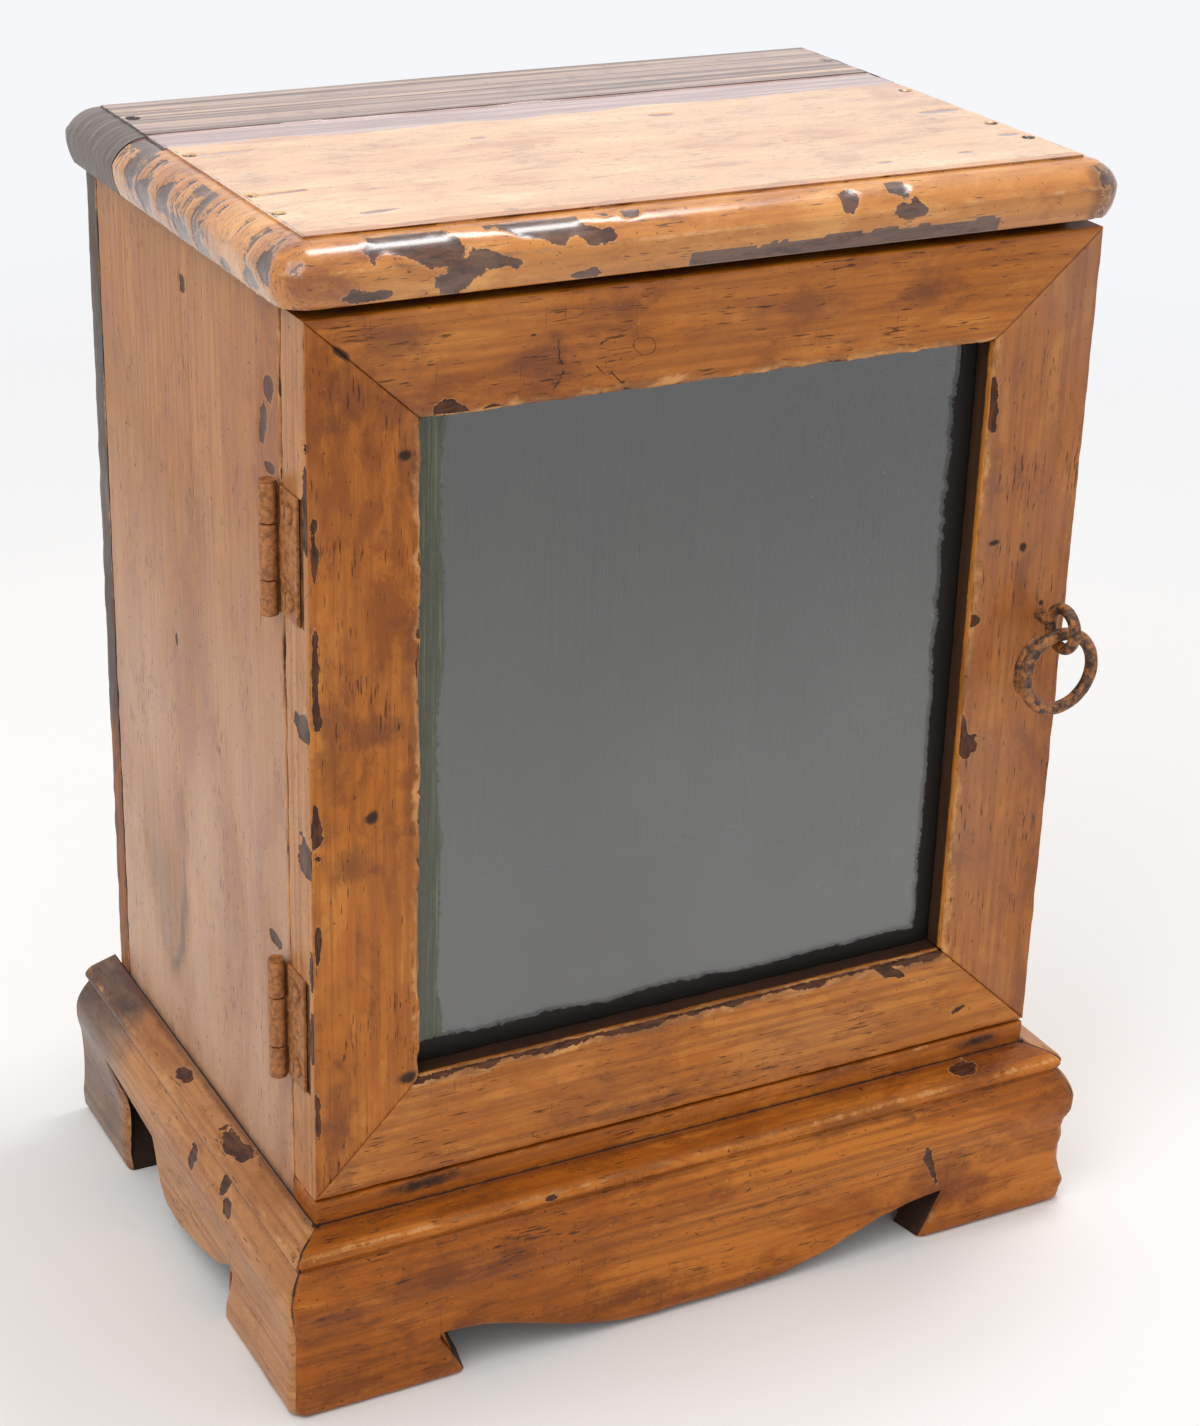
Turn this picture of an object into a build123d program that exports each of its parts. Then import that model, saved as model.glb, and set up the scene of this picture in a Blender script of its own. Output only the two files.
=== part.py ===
from build123d import *
import os
from math import cos, pi

# A small wooden display box: a case of nailed boards on a moulded plinth with cut feet,
# and a mitred, glazed door on two butt hinges with a ring pull.
# Millimetres, Z up. X runs across the door, the door's face looks toward -Y.
# The origin is on the ground, at the middle of the whole object's bounding box.

# Case boards
case_width = 283.0
side_thickness = 15.0
side_depth = 165.3
back_thickness = 10.5
carcass_bottom_z = 42.0
floor_thickness = 15.0
sill_gap = 0.6
seam_gap = 0.5

# Door frame
door_height = 300.0
door_thickness = 19.0
door_bottom_z = 74.5
door_top_gap = 3.0
stile_left_width = 37.9
stile_right_width = 40.4
rail_top_height = 34.8
rail_bottom_height = 38.4

# Door glass, held in a rebate by beads from behind
glass_setback = 10.0
glass_thickness = 2.5
glass_clearance = 0.4
rebate_width = 7.0
bead_width = 6.5

# Top boards with a thumbnail nosing
top_thickness = 19.3
top_side_overhang = 5.6
top_front_overhang = 0.0
top_rear_overhang = 2.7
rear_board_depth = 55.5
nosing_width = 9.8
nosing_bulge = 2.5
nosing_tuck_height = 6.5
nosing_quirk = 0.8

# Plinth moulding: how far it stands out from the wall, and at what height
plinth_height = 65.4
slope_run = 9.5
slope_end_z = 62.5
bead_crest_out = 11.7
bead_crest_z = 60.9
bead_out = 12.0
bead_end_z = 58.0
groove_out = 11.7
groove_z = 56.4
ovolo_out = 15.1
ovolo_z = 50.7
bulge_out = 16.4
bulge_z = 45.0
bulge_low_out = 16.2
bulge_low_z = 40.7
arris_out = 15.2
arris_z = 36.5
waist_out = 14.4
waist_z = 22.0
foot_out = 15.4
foot_z = 8.0
foot_bottom_out = 14.8
plinth_rear_reach = 6.2

# Plinth cut-outs: feet at the ends and a drooping apron between them
front_foot_length = 51.5
front_foot_lean = 8.5
front_notch_z = 18.0
front_droop_half = 20.0
front_droop_z = 1.2
side_foot_length = 52.0
side_foot_lean = 6.5
side_notch_z = 25.0
side_droop_start = 76.0
side_droop_start_z = 12.5
side_droop_end = 110.0
side_droop_end_z = 10.5
side_shoulder = 118.0
side_shoulder_z = 17.5
side_step_start = 122.0
side_step_z = 31.0
rear_foot_length = 50.5
rear_foot_square_lean = 2.7
rear_foot_lean = 18.0
rear_foot_square_z = 27.0
rear_notch_z = 37.0

# Butt hinges on the door's left edge
hinge_z = (134.0, 298.0)
hinge_length = 43.3
lower_knuckle_length = 11.8
middle_knuckle_length = 18.3
knuckle_gap = 0.3
barrel_radius = 3.25
barrel_side_gap = 0.3
barrel_setback = 2.0
pin_radius = 1.5
pin_clearance = 0.05
pin_head_radius = 2.6
pin_head_height = 0.6
leaf_height = 41.5
leaf_thickness = 1.6
door_leaf_width = 13.0
case_leaf_width = 11.5
leaf_mortise = 0.6
leaf_mortise_length = 15.4
leaf_fit = 0.1
tongue_clearance = 0.35
tongue_bite = 0.75
tongue_bore_gap = 0.4

# Screws of the hinges
screw_spread = 14.0
door_screw_inset = 7.5
screw_radius = 1.3
screw_length = 12.0
screw_head_radius = 3.2
screw_head_height = 1.3
screw_head_round = 0.9
screw_slot_width = 0.8
screw_slot_depth = 0.6
flat_head_height = 1.4

# Eye and ring on the right stile
eye_x_inset = 11.5
eye_z = 238.8
eye_wire_radius = 2.25
eye_hole_radius = 4.75
eye_standoff = 14.0
leg_radius = 2.2
leg_length = 11.0
leg_pocket_depth = 2.6
leg_end_round = 2.0
leg_clearance = 0.05
ring_outer_radius = 16.2
ring_rod_radius = 2.4
ring_play = 0.3
ring_tail_rod_radius = 2.1
ring_tail_offset = 3.6
ring_tail_start_deg = 115.0
ring_tail_sweep_deg = 95.0

# Nails
nail_radius = 1.0
nail_head_radius = 2.1
nail_head_height = 0.8
nail_sink = 1.2
nail_clearance = 0.05
top_nail_length = 34.0
top_nail_offsets = (17.0, 39.0, 92.0, 146.0)
back_nail_length = 24.0
back_nail_rows = 5
plinth_nail_length = 26.0
plinth_front_nails = 4
plinth_side_nails = 3
plinth_nail_z = 50.0
plinth_nail_sink = 2.6
floor_nail_length = 32.0
floor_nails = 3
floor_nail_shift = 6.3
floor_nail_drop = 4.0
mitre_nail_length = 30.0
mitre_nail_spread = 9.0
bead_pin_radius = 0.6
bead_pin_length = 11.0
bead_pin_inset = 40.0

# Planes worked out from the sizes above
half_width = case_width / 2
eye_reach = eye_standoff + eye_hole_radius + 2 * eye_wire_radius
case_reach = door_thickness + seam_gap + side_depth + back_thickness + plinth_rear_reach
front_y = (eye_reach - case_reach) / 2
door_back_y = front_y + door_thickness
case_front_y = door_back_y + seam_gap
case_back_y = case_front_y + side_depth
rear_y = case_back_y + back_thickness
plinth_rear_y = rear_y + plinth_rear_reach
door_top_z = door_bottom_z + door_height
top_under_z = door_top_z + door_top_gap
top_z = top_under_z + top_thickness
sill_top_z = door_bottom_z - sill_gap
inner_half = half_width - side_thickness
opening_left = -half_width + stile_left_width
opening_right = half_width - stile_right_width
opening_bottom = door_bottom_z + rail_bottom_height
opening_top = door_top_z - rail_top_height
glass_front_y = front_y + glass_setback
glass_back_y = glass_front_y + glass_thickness
hinge_x = -half_width - barrel_side_gap - barrel_radius
hinge_y = case_front_y + barrel_setback
eye_x = half_width - eye_x_inset
eye_y = front_y - eye_standoff
ring_axis_z = eye_z - eye_hole_radius + ring_play + ring_rod_radius
ring_line_radius = ring_outer_radius - ring_rod_radius
side_middle = half_width - side_thickness / 2


def block(x0, x1, y0, y1, z0, z1):
    """Box between two corners."""
    size = (x1 - x0, y1 - y0, z1 - z0)
    centre = ((x0 + x1) / 2, (y0 + y1) / 2, (z0 + z1) / 2)
    return Pos(*centre) * Box(*size)


def rod(start, direction, radius, length):
    """Round rod that starts at a point and runs along a direction."""
    return extrude(Plane(origin=start, z_dir=direction) * Circle(radius), length)


def along(start, direction, distance):
    """Point at a distance from another along a direction."""
    return tuple(s + d * distance for s, d in zip(start, direction))


def prism(points, z0, z1):
    """Upright prism over a plan outline."""
    face = make_face(Polyline(*[(x, y, z0) for x, y in points], close=True))
    return extrude(face, z1 - z0, dir=(0, 0, 1))


def nail(start, direction, length, sink=nail_sink):
    """Nail driven in at a surface point, its flat head sunk below the surface."""
    seat = along(start, direction, sink)
    shank = rod(seat, direction, nail_radius, length)
    return shank + rod(seat, direction, nail_head_radius, nail_head_height)


def nail_hole(start, direction, length, sink=nail_sink):
    """Space that a nail and its sunk head take up in the wood."""
    seat = along(start, direction, sink + nail_head_height + nail_clearance)
    depth = sink + nail_head_height + nail_clearance
    shank = rod(seat, direction, nail_radius + nail_clearance, length - nail_head_height)
    return shank + rod(start, direction, nail_head_radius + nail_clearance, depth)


def drilled(board, holes):
    """Board with every listed hole cut from it."""
    for hole in holes:
        board = board - hole
    return board


def spread(low, high, count):
    """Evenly spaced places with half a step left at each end."""
    step = (high - low) / count
    return [low + step * (i + 0.5) for i in range(count)]


# Nail places: a surface point, a direction, a length and, on the plinth, how deep the head is sunk
top_nails = []
for nail_offset in top_nail_offsets:
    for nail_side in (-1, 1):
        nail_start = (nail_side * side_middle, case_front_y + nail_offset, top_z)
        top_nails.append((nail_start, (0, 0, -1), top_nail_length))

back_nails = []
for nail_z in spread(carcass_bottom_z, top_under_z, back_nail_rows):
    for nail_side in (-1, 1):
        back_nails.append(((nail_side * side_middle, rear_y, nail_z), (0, -1, 0), back_nail_length))

plinth_front_places = []
for nail_x in spread(-inner_half, inner_half, plinth_front_nails):
    nail_start = (nail_x, front_y - bulge_out, plinth_nail_z)
    plinth_front_places.append((nail_start, (0, 1, 0), plinth_nail_length, plinth_nail_sink))

plinth_side_places = {-1: [], 1: []}
for nail_y in spread(case_front_y, case_back_y, plinth_side_nails):
    for nail_side in (-1, 1):
        nail_start = (nail_side * (half_width + bulge_out), nail_y, plinth_nail_z)
        nail_place = (nail_start, (-nail_side, 0, 0), plinth_nail_length, plinth_nail_sink)
        plinth_side_places[nail_side].append(nail_place)

floor_nail_z = sill_top_z - floor_thickness / 2 - floor_nail_drop
floor_places = {-1: [], 1: []}
for nail_y in spread(case_front_y, case_back_y, floor_nails):
    for nail_side in (-1, 1):
        nail_start = (nail_side * half_width, nail_y + floor_nail_shift, floor_nail_z)
        floor_places[nail_side].append((nail_start, (-nail_side, 0, 0), floor_nail_length))

mitre_places = {-1: [], 1: []}
mitre_y = front_y + glass_setback / 2
for corner_z, spread_sign in ((door_bottom_z, 1), (door_top_z, -1)):
    for place in (1, 2):
        nail_z = corner_z + spread_sign * place * mitre_nail_spread
        for nail_side in (-1, 1):
            nail_start = (nail_side * half_width, mitre_y, nail_z)
            mitre_places[nail_side].append((nail_start, (-nail_side, 0, 0), mitre_nail_length))


def holes_for(places):
    """Holes of a list of nail places."""
    return [nail_hole(*place) for place in places]


def nails_for(places):
    """Nails of a list of nail places, as separate solids."""
    return [nail(*place) for place in places]


# Case boards


def side_panel(side):
    """Side panel, its front edge let in for the hinge leaves on the left."""
    x0, x1 = sorted((side * half_width, side * inner_half))
    panel = block(x0, x1, case_front_y, case_back_y, carcass_bottom_z, top_under_z)
    own_nails = top_nails + back_nails + plinth_side_places[side] + floor_places[side]
    own_nails = [place for place in own_nails if place[0][0] * side > 0]
    panel = drilled(panel, holes_for(own_nails))
    if side < 0:
        for z in hinge_z:
            panel = panel - case_leaf_mortise(z)
            panel = drilled(panel, [case_screw_hole(z + step) for step in (-screw_spread, screw_spread)])
    return panel


def back_panel():
    """Back board, nailed over the rear edges of the sides."""
    panel = block(-half_width, half_width, case_back_y, rear_y, carcass_bottom_z, top_under_z)
    return drilled(panel, holes_for(back_nails))


def bottom_board():
    """Floor of the case, between the sides."""
    low_z = sill_top_z - floor_thickness
    board = block(-inner_half, inner_half, case_front_y, case_back_y, low_z, sill_top_z)
    return drilled(board, holes_for(floor_places[-1] + floor_places[1]))


def front_sill():
    """Rail under the door, in the door's plane, on the front ends of the sides."""
    sill = block(-half_width, half_width, front_y, case_front_y, carcass_bottom_z, sill_top_z)
    return drilled(sill, holes_for(plinth_front_places))


# Top


def nosing_face(place):
    """Section of the thumbnail nosing; place turns an outward and an upward distance into a point."""
    crown = top_thickness - nosing_quirk
    tip = nosing_width + nosing_bulge
    crown_radius = crown - nosing_tuck_height
    inner = tip - crown_radius
    lean = crown_radius * (1 - cos(pi / 4))
    edges = [
        Line(place(0, 0), place(nosing_width, 0)),
        ThreePointArc(
            place(nosing_width, 0),
            place(tip - nosing_bulge / 4, nosing_tuck_height / 2),
            place(tip, nosing_tuck_height),
        ),
        ThreePointArc(
            place(tip, nosing_tuck_height),
            place(tip - lean, crown - lean),
            place(inner, crown),
        ),
        Line(place(inner, crown), place(0, crown)),
        Line(place(0, crown), place(0, 0)),
    ]
    return make_face(edges)


def nosed_board(y0, y1, nosed_front):
    """Top board with a nosing on both ends and on its front or its rear edge."""
    flat_x = half_width + top_side_overhang - nosing_width
    flat_y0 = y0 + nosing_width if nosed_front else y0
    flat_y1 = y1 if nosed_front else y1 - nosing_width
    board = block(-flat_x, flat_x, flat_y0, flat_y1, top_under_z, top_z)
    long_y = flat_y0 if nosed_front else flat_y1
    out_y = -1 if nosed_front else 1
    long_face = nosing_face(lambda o, h: (-flat_x, long_y + out_y * o, top_under_z + h))
    board = board + extrude(long_face, 2 * flat_x, dir=(1, 0, 0))
    for side in (-1, 1):
        end_face = nosing_face(lambda o, h: (side * (flat_x + o), flat_y0, top_under_z + h))
        board = board + extrude(end_face, flat_y1 - flat_y0, dir=(0, 1, 0))
        corner_axis = Axis((side * flat_x, long_y, 0), (0, 0, 1))
        corner_face = nosing_face(lambda o, h: (side * (flat_x + o), long_y, top_under_z + h))
        board = board + revolve(corner_face, corner_axis, 90 * side * out_y)
    return drilled(board, holes_for([p for p in top_nails if y0 < p[0][1] < y1]))


joint_y = rear_y + top_rear_overhang - rear_board_depth


def top_front_board():
    """Deep front board of the top."""
    return nosed_board(front_y - top_front_overhang, joint_y, True)


def top_rear_board():
    """Narrow rear board of the top."""
    return nosed_board(joint_y, rear_y + top_rear_overhang, False)


# Plinth


def plinth_section(place):
    """Section of the plinth moulding; place turns an outward distance and a height into a point."""
    edges = [
        Line(place(0, 0), place(0, plinth_height)),
        Line(place(0, plinth_height), place(slope_run, slope_end_z)),
        ThreePointArc(
            place(slope_run, slope_end_z),
            place(bead_crest_out, bead_crest_z),
            place(bead_out, bead_end_z),
        ),
        Line(place(bead_out, bead_end_z), place(groove_out, groove_z)),
        ThreePointArc(
            place(groove_out, groove_z),
            place(ovolo_out, ovolo_z),
            place(bulge_out, bulge_z),
        ),
        ThreePointArc(
            place(bulge_out, bulge_z),
            place(bulge_low_out, bulge_low_z),
            place(arris_out, arris_z),
        ),
        ThreePointArc(
            place(arris_out, arris_z),
            place(waist_out, waist_z),
            place(foot_out, foot_z),
        ),
        Line(place(foot_out, foot_z), place(foot_bottom_out, 0)),
        Line(place(foot_bottom_out, 0), place(0, 0)),
    ]
    return make_face(edges)


plinth_margin = 2.0
mitre_reach = bulge_out + plinth_margin
below = -plinth_margin


def front_gap():
    """Space cut from the front board between its feet: undercut feet and a drooping apron."""
    foot_x = half_width - front_foot_length
    notch_x = foot_x + front_foot_lean
    rise = front_notch_z - front_droop_z
    steps = (0.0, 0.25, 0.5, 0.75, 1.0)

    def curve(side):
        points = []
        for t in steps:
            x = front_droop_half + (notch_x - front_droop_half) * t
            points.append((side * x, 0, front_droop_z + rise * (1 - cos(pi * t)) / 2))
        return Spline(*points, tangents=[(side, 0, 0), (side, 0, 0)])

    edges = [
        Polyline((notch_x, 0, front_notch_z), (foot_x, 0, 0), (foot_x, 0, below), (-foot_x, 0, below)),
        Polyline((-foot_x, 0, below), (-foot_x, 0, 0), (-notch_x, 0, front_notch_z)),
        curve(-1),
        Line((-front_droop_half, 0, front_droop_z), (front_droop_half, 0, front_droop_z)),
        curve(1),
    ]
    face = Pos(0, front_y + plinth_margin, 0) * make_face(edges)
    return extrude(face, mitre_reach + plinth_margin, dir=(0, -1, 0))


def side_gap(side):
    """Space cut from a side board: a front foot, a low apron, a step up and a rear foot."""

    def at(distance, z):
        return (side * (half_width - plinth_margin), front_y + distance, z)

    rear_end = plinth_rear_y - front_y
    rear_foot = rear_end - rear_foot_length
    notch = side_foot_length - side_foot_lean
    edges = [
        Polyline(
            at(notch, side_notch_z),
            at(side_foot_length, 0),
            at(side_foot_length, below),
            at(rear_foot, below),
            at(rear_foot, 0),
            at(rear_foot + rear_foot_square_lean, rear_foot_square_z),
            at(rear_foot + rear_foot_lean, rear_notch_z),
            at(side_step_start, side_step_z),
        ),
        Spline(
            at(side_step_start, side_step_z),
            at(side_shoulder, side_shoulder_z),
            at(side_droop_end, side_droop_end_z),
            at(side_droop_start, side_droop_start_z),
            at(notch, side_notch_z),
        ),
    ]
    return extrude(make_face(edges), mitre_reach + plinth_margin, dir=(side, 0, 0))


def plinth_front():
    """Front plinth board, mitred at both ends."""
    reach = half_width + mitre_reach
    face = plinth_section(lambda o, z: (-reach, front_y - o, z))
    board = extrude(face, 2 * reach, dir=(1, 0, 0))
    corner_y = front_y - mitre_reach
    plan = [(-half_width, front_y), (half_width, front_y), (reach, corner_y), (-reach, corner_y)]
    board = board & prism(plan, below, top_z)
    return drilled(board - front_gap(), holes_for(plinth_front_places))


def plinth_side(side):
    """Side plinth board, mitred at the front and square at the rear."""
    corner_y = front_y - mitre_reach
    face = plinth_section(lambda o, z: (side * (half_width + o), corner_y, z))
    board = extrude(face, plinth_rear_y - corner_y, dir=(0, 1, 0))
    reach = side * (half_width + mitre_reach)
    wall = side * half_width
    plan = [(wall, front_y), (reach, corner_y), (reach, plinth_rear_y), (wall, plinth_rear_y)]
    board = board & prism(plan, below, top_z)
    return drilled(board - side_gap(side), holes_for(plinth_side_places[side]))


# Door frame


def frame_member(outline):
    """Frame piece over an outline in the door's plane, rebated behind for the glass."""
    face = make_face(Polyline(*[(x, front_y, z) for x, z in outline], close=True))
    member = extrude(face, door_thickness, dir=(0, 1, 0))
    rebate = block(
        opening_left - rebate_width,
        opening_right + rebate_width,
        glass_front_y,
        door_back_y + plinth_margin,
        opening_bottom - rebate_width,
        opening_top + rebate_width,
    )
    return member - rebate


corner_bl = (-half_width, door_bottom_z)
corner_br = (half_width, door_bottom_z)
corner_tl = (-half_width, door_top_z)
corner_tr = (half_width, door_top_z)
inner_bl = (opening_left, opening_bottom)
inner_br = (opening_right, opening_bottom)
inner_tl = (opening_left, opening_top)
inner_tr = (opening_right, opening_top)


def door_stile_left():
    """Hinge stile, with a mortise and screw holes for each door leaf."""
    stile = frame_member([corner_bl, inner_bl, inner_tl, corner_tl])
    for z in hinge_z:
        stile = stile - door_leaf_mortise(z)
        stile = drilled(stile, [door_screw_hole(z + step) for step in (-screw_spread, screw_spread)])
    return drilled(stile, holes_for(mitre_places[-1]) + bead_holes(-1))


def door_stile_right():
    """Opening stile, with the hole and the pocket for the eye's legs."""
    stile = frame_member([corner_br, inner_br, inner_tr, corner_tr])
    radius = leg_radius + leg_clearance
    stile = stile - rod((eye_x, front_y, eye_z), (0, 1, 0), radius, door_thickness)
    half_pocket = leg_length + leg_radius + leg_clearance
    stile = stile - block(
        eye_x - radius,
        eye_x + radius,
        door_back_y - leg_pocket_depth,
        door_back_y,
        eye_z - half_pocket,
        eye_z + half_pocket,
    )
    return drilled(stile, holes_for(mitre_places[1]) + bead_holes(1))


def door_rail(bottom):
    """Top or bottom rail of the door."""
    if bottom:
        rail = frame_member([corner_bl, corner_br, inner_br, inner_bl])
    else:
        rail = frame_member([corner_tl, corner_tr, inner_tr, inner_tl])
    return drilled(rail, holes_for(mitre_places[-1] + mitre_places[1]) + bead_holes(0))


def door_glass():
    """Pane in the rebate."""
    edge = rebate_width - glass_clearance
    return block(
        opening_left - edge,
        opening_right + edge,
        glass_front_y,
        glass_back_y,
        opening_bottom - edge,
        opening_top + edge,
    )


# Beads behind the glass, and the pins that hold them

rebate_x0 = opening_left - rebate_width
rebate_x1 = opening_right + rebate_width
rebate_z0 = opening_bottom - rebate_width
rebate_z1 = opening_top + rebate_width
bead_middle_y = (glass_back_y + door_back_y) / 2

bead_boxes = {
    "bottom": (rebate_x0, rebate_x1, rebate_z0, rebate_z0 + bead_width),
    "top": (rebate_x0, rebate_x1, rebate_z1 - bead_width, rebate_z1),
    "left": (rebate_x0, rebate_x0 + bead_width, rebate_z0 + bead_width, rebate_z1 - bead_width),
    "right": (rebate_x1 - bead_width, rebate_x1, rebate_z0 + bead_width, rebate_z1 - bead_width),
}

bead_pins = {
    "bottom": [((x, bead_middle_y, rebate_z0 + bead_width), (0, 0, -1))
               for x in (rebate_x0 + bead_pin_inset, rebate_x1 - bead_pin_inset)],
    "top": [((x, bead_middle_y, rebate_z1 - bead_width), (0, 0, 1))
            for x in (rebate_x0 + bead_pin_inset, rebate_x1 - bead_pin_inset)],
    "left": [((rebate_x0 + bead_width, bead_middle_y, z), (-1, 0, 0))
             for z in (rebate_z0 + bead_pin_inset, rebate_z1 - bead_pin_inset)],
    "right": [((rebate_x1 - bead_width, bead_middle_y, z), (1, 0, 0))
              for z in (rebate_z0 + bead_pin_inset, rebate_z1 - bead_pin_inset)],
}


def bead_hole(place):
    """Hole of one bead pin."""
    return rod(place[0], place[1], bead_pin_radius + nail_clearance, bead_pin_length)


def bead_holes(side):
    """Holes of the bead pins in one frame piece: a stile by its side, or both rails for 0."""
    names = {-1: ["left"], 1: ["right"], 0: ["bottom", "top"]}[side]
    return [bead_hole(place) for name in names for place in bead_pins[name]]


def glazing_bead(name):
    """One square bead with its pin holes."""
    x0, x1, z0, z1 = bead_boxes[name]
    bead = block(x0, x1, glass_back_y, door_back_y, z0, z1)
    return drilled(bead, [bead_hole(place) for place in bead_pins[name]])


# Hinges: the door leaf lies on the door's edge, the case leaf on the side panel's front edge

door_leaf_back_x = -half_width + leaf_mortise
door_leaf_face_x = door_leaf_back_x - leaf_thickness
door_screw_y = door_back_y - door_screw_inset
case_leaf_x0 = -half_width + leaf_fit
case_leaf_x1 = case_leaf_x0 + case_leaf_width
case_screw_x = (case_leaf_x0 + case_leaf_x1) / 2


def knuckle_span(z, index):
    """Lower and upper end of one knuckle of the hinge centred at z, counted from the bottom."""
    bottom = z - hinge_length / 2
    lower_joint = bottom + lower_knuckle_length
    upper_joint = lower_joint + middle_knuckle_length
    spans = (
        (bottom, lower_joint - knuckle_gap / 2),
        (lower_joint + knuckle_gap / 2, upper_joint - knuckle_gap / 2),
        (upper_joint + knuckle_gap / 2, bottom + hinge_length),
    )
    return spans[index]


def knuckle(z, index):
    """Tube of one knuckle, without its bore."""
    low, high = knuckle_span(z, index)
    return rod((hinge_x, hinge_y, low), (0, 0, 1), barrel_radius, high - low)


def barrel_bore(z):
    """Bore for the pin through the whole barrel."""
    low = z - hinge_length / 2
    return rod((hinge_x, hinge_y, low), (0, 0, 1), pin_radius + pin_clearance, hinge_length)


def door_leaf_mortise(z):
    """Shallow recess in the door's left edge, longer than the leaf toward the front."""
    half = leaf_height / 2 + leaf_fit
    front = door_back_y - leaf_mortise_length
    back = door_back_y + plinth_margin
    return block(-half_width - plinth_margin, door_leaf_back_x, front, back, z - half, z + half)


def case_leaf_mortise(z):
    """Recess in the front edge of the left side panel, as deep as the leaf."""
    half = leaf_height / 2 + leaf_fit
    x0 = -half_width - plinth_margin
    y0 = case_front_y - plinth_margin
    return block(x0, case_leaf_x1 + leaf_fit, y0, case_front_y + leaf_thickness, z - half, z + half)


def door_screw_hole(z):
    """Hole of one door leaf screw."""
    start = (door_leaf_face_x, door_screw_y, z)
    return rod(start, (1, 0, 0), screw_radius + nail_clearance, screw_length + leaf_thickness)


def case_screw_hole(z):
    """Hole of one case leaf screw."""
    start = (case_screw_x, case_front_y, z)
    return rod(start, (0, 1, 0), screw_radius + nail_clearance, screw_length + leaf_thickness)


def hinge_door_leaf(z):
    """Leaf on the door's edge with the middle knuckle."""
    low, high = knuckle_span(z, 1)
    half = leaf_height / 2
    front = door_back_y - door_leaf_width
    plate = block(door_leaf_face_x, door_leaf_back_x, front, door_back_y, z - half, z + half)
    tongue_x = -half_width - tongue_clearance
    tongue = block(door_leaf_face_x, tongue_x, door_back_y, hinge_y - tongue_bite, low, high)
    leaf = plate + tongue + knuckle(z, 1) - barrel_bore(z)
    return drilled(leaf, [door_screw_hole(z + step) for step in (-screw_spread, screw_spread)])


def hinge_case_leaf(z):
    """Leaf on the side panel's front edge with the two outer knuckles."""
    half = leaf_height / 2
    leaf_back_y = case_front_y + leaf_thickness
    leaf = block(case_leaf_x0, case_leaf_x1, case_front_y, leaf_back_y, z - half, z + half)
    for index in (0, 2):
        low, high = knuckle_span(z, index)
        low = max(low, z - half)
        high = min(high, z + half)
        tongue_x0 = hinge_x + pin_radius + pin_clearance + tongue_bore_gap
        leaf = leaf + block(tongue_x0, case_leaf_x0, case_front_y, leaf_back_y, low, high)
        leaf = leaf + knuckle(z, index)
    leaf = leaf - barrel_bore(z)
    return drilled(leaf, [case_head_seat(z + s) for s in (-screw_spread, screw_spread)])


def case_head_seat(z):
    """Countersink and hole of one case leaf screw."""
    return case_screw_body(z, nail_clearance) + case_screw_hole(z)


def case_screw_body(z, grow):
    """Countersunk screw of the case leaf, flush with the leaf; grow widens it into its seat."""
    plane = Plane(origin=(case_screw_x, case_front_y, z), z_dir=(0, 1, 0))
    large = plane * Circle(screw_head_radius + grow)
    small = plane.offset(flat_head_height) * Circle(screw_radius + grow)
    head = loft([large.face(), small.face()])
    shank = rod((case_screw_x, case_front_y, z), (0, 1, 0), screw_radius + grow, screw_length)
    return head + shank


def hinge_pin(z):
    """Pin through the three knuckles, with a thin head on top."""
    low = z - hinge_length / 2
    pin = rod((hinge_x, hinge_y, low), (0, 0, 1), pin_radius, hinge_length)
    head = rod((hinge_x, hinge_y, low + hinge_length), (0, 0, 1), pin_head_radius, pin_head_height)
    return pin + head


def door_screw(z):
    """Round-head slotted screw through the door leaf."""
    base = (door_leaf_face_x, door_screw_y, z)
    head_plane = Plane(origin=base, z_dir=(-1, 0, 0))
    head = extrude(head_plane * Circle(screw_head_radius), screw_head_height)
    rim = head.edges().filter_by(GeomType.CIRCLE).sort_by(Axis.X)[0]
    head = fillet(rim, screw_head_round)
    slot_x = door_leaf_face_x - screw_head_height
    slot = block(
        slot_x,
        slot_x + screw_slot_depth,
        door_screw_y - screw_slot_width / 2,
        door_screw_y + screw_slot_width / 2,
        z - screw_head_radius,
        z + screw_head_radius,
    )
    return head - slot + rod(base, (1, 0, 0), screw_radius, screw_length)


def case_screws():
    """Countersunk screws of both case leaves."""
    return [case_screw_body(z + step, 0) for z in hinge_z for step in (-screw_spread, screw_spread)]


def door_screws():
    """Round-head screws of both door leaves."""
    return [door_screw(z + step) for z in hinge_z for step in (-screw_spread, screw_spread)]


# Ring pull


def pull_eye():
    """Split pin: a wire eye whose two legs pass the stile and are turned over behind it."""
    line_radius = eye_hole_radius + eye_wire_radius
    eye_plane = Plane(origin=(eye_x, eye_y, eye_z), z_dir=(1, 0, 0))
    eye = eye_plane * Torus(line_radius, eye_wire_radius)
    stem_start = eye_y + line_radius
    stem_end = door_back_y - leg_radius / 2
    stem = rod((eye_x, stem_start, eye_z), (0, 1, 0), leg_radius, stem_end - stem_start)
    legs = block(
        eye_x - leg_radius,
        eye_x + leg_radius,
        door_back_y - leg_radius,
        door_back_y,
        eye_z - leg_length - leg_radius,
        eye_z + leg_length + leg_radius,
    )
    ends = legs.edges().filter_by(Axis.Y)
    return eye + stem + fillet(ends, leg_end_round)


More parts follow.
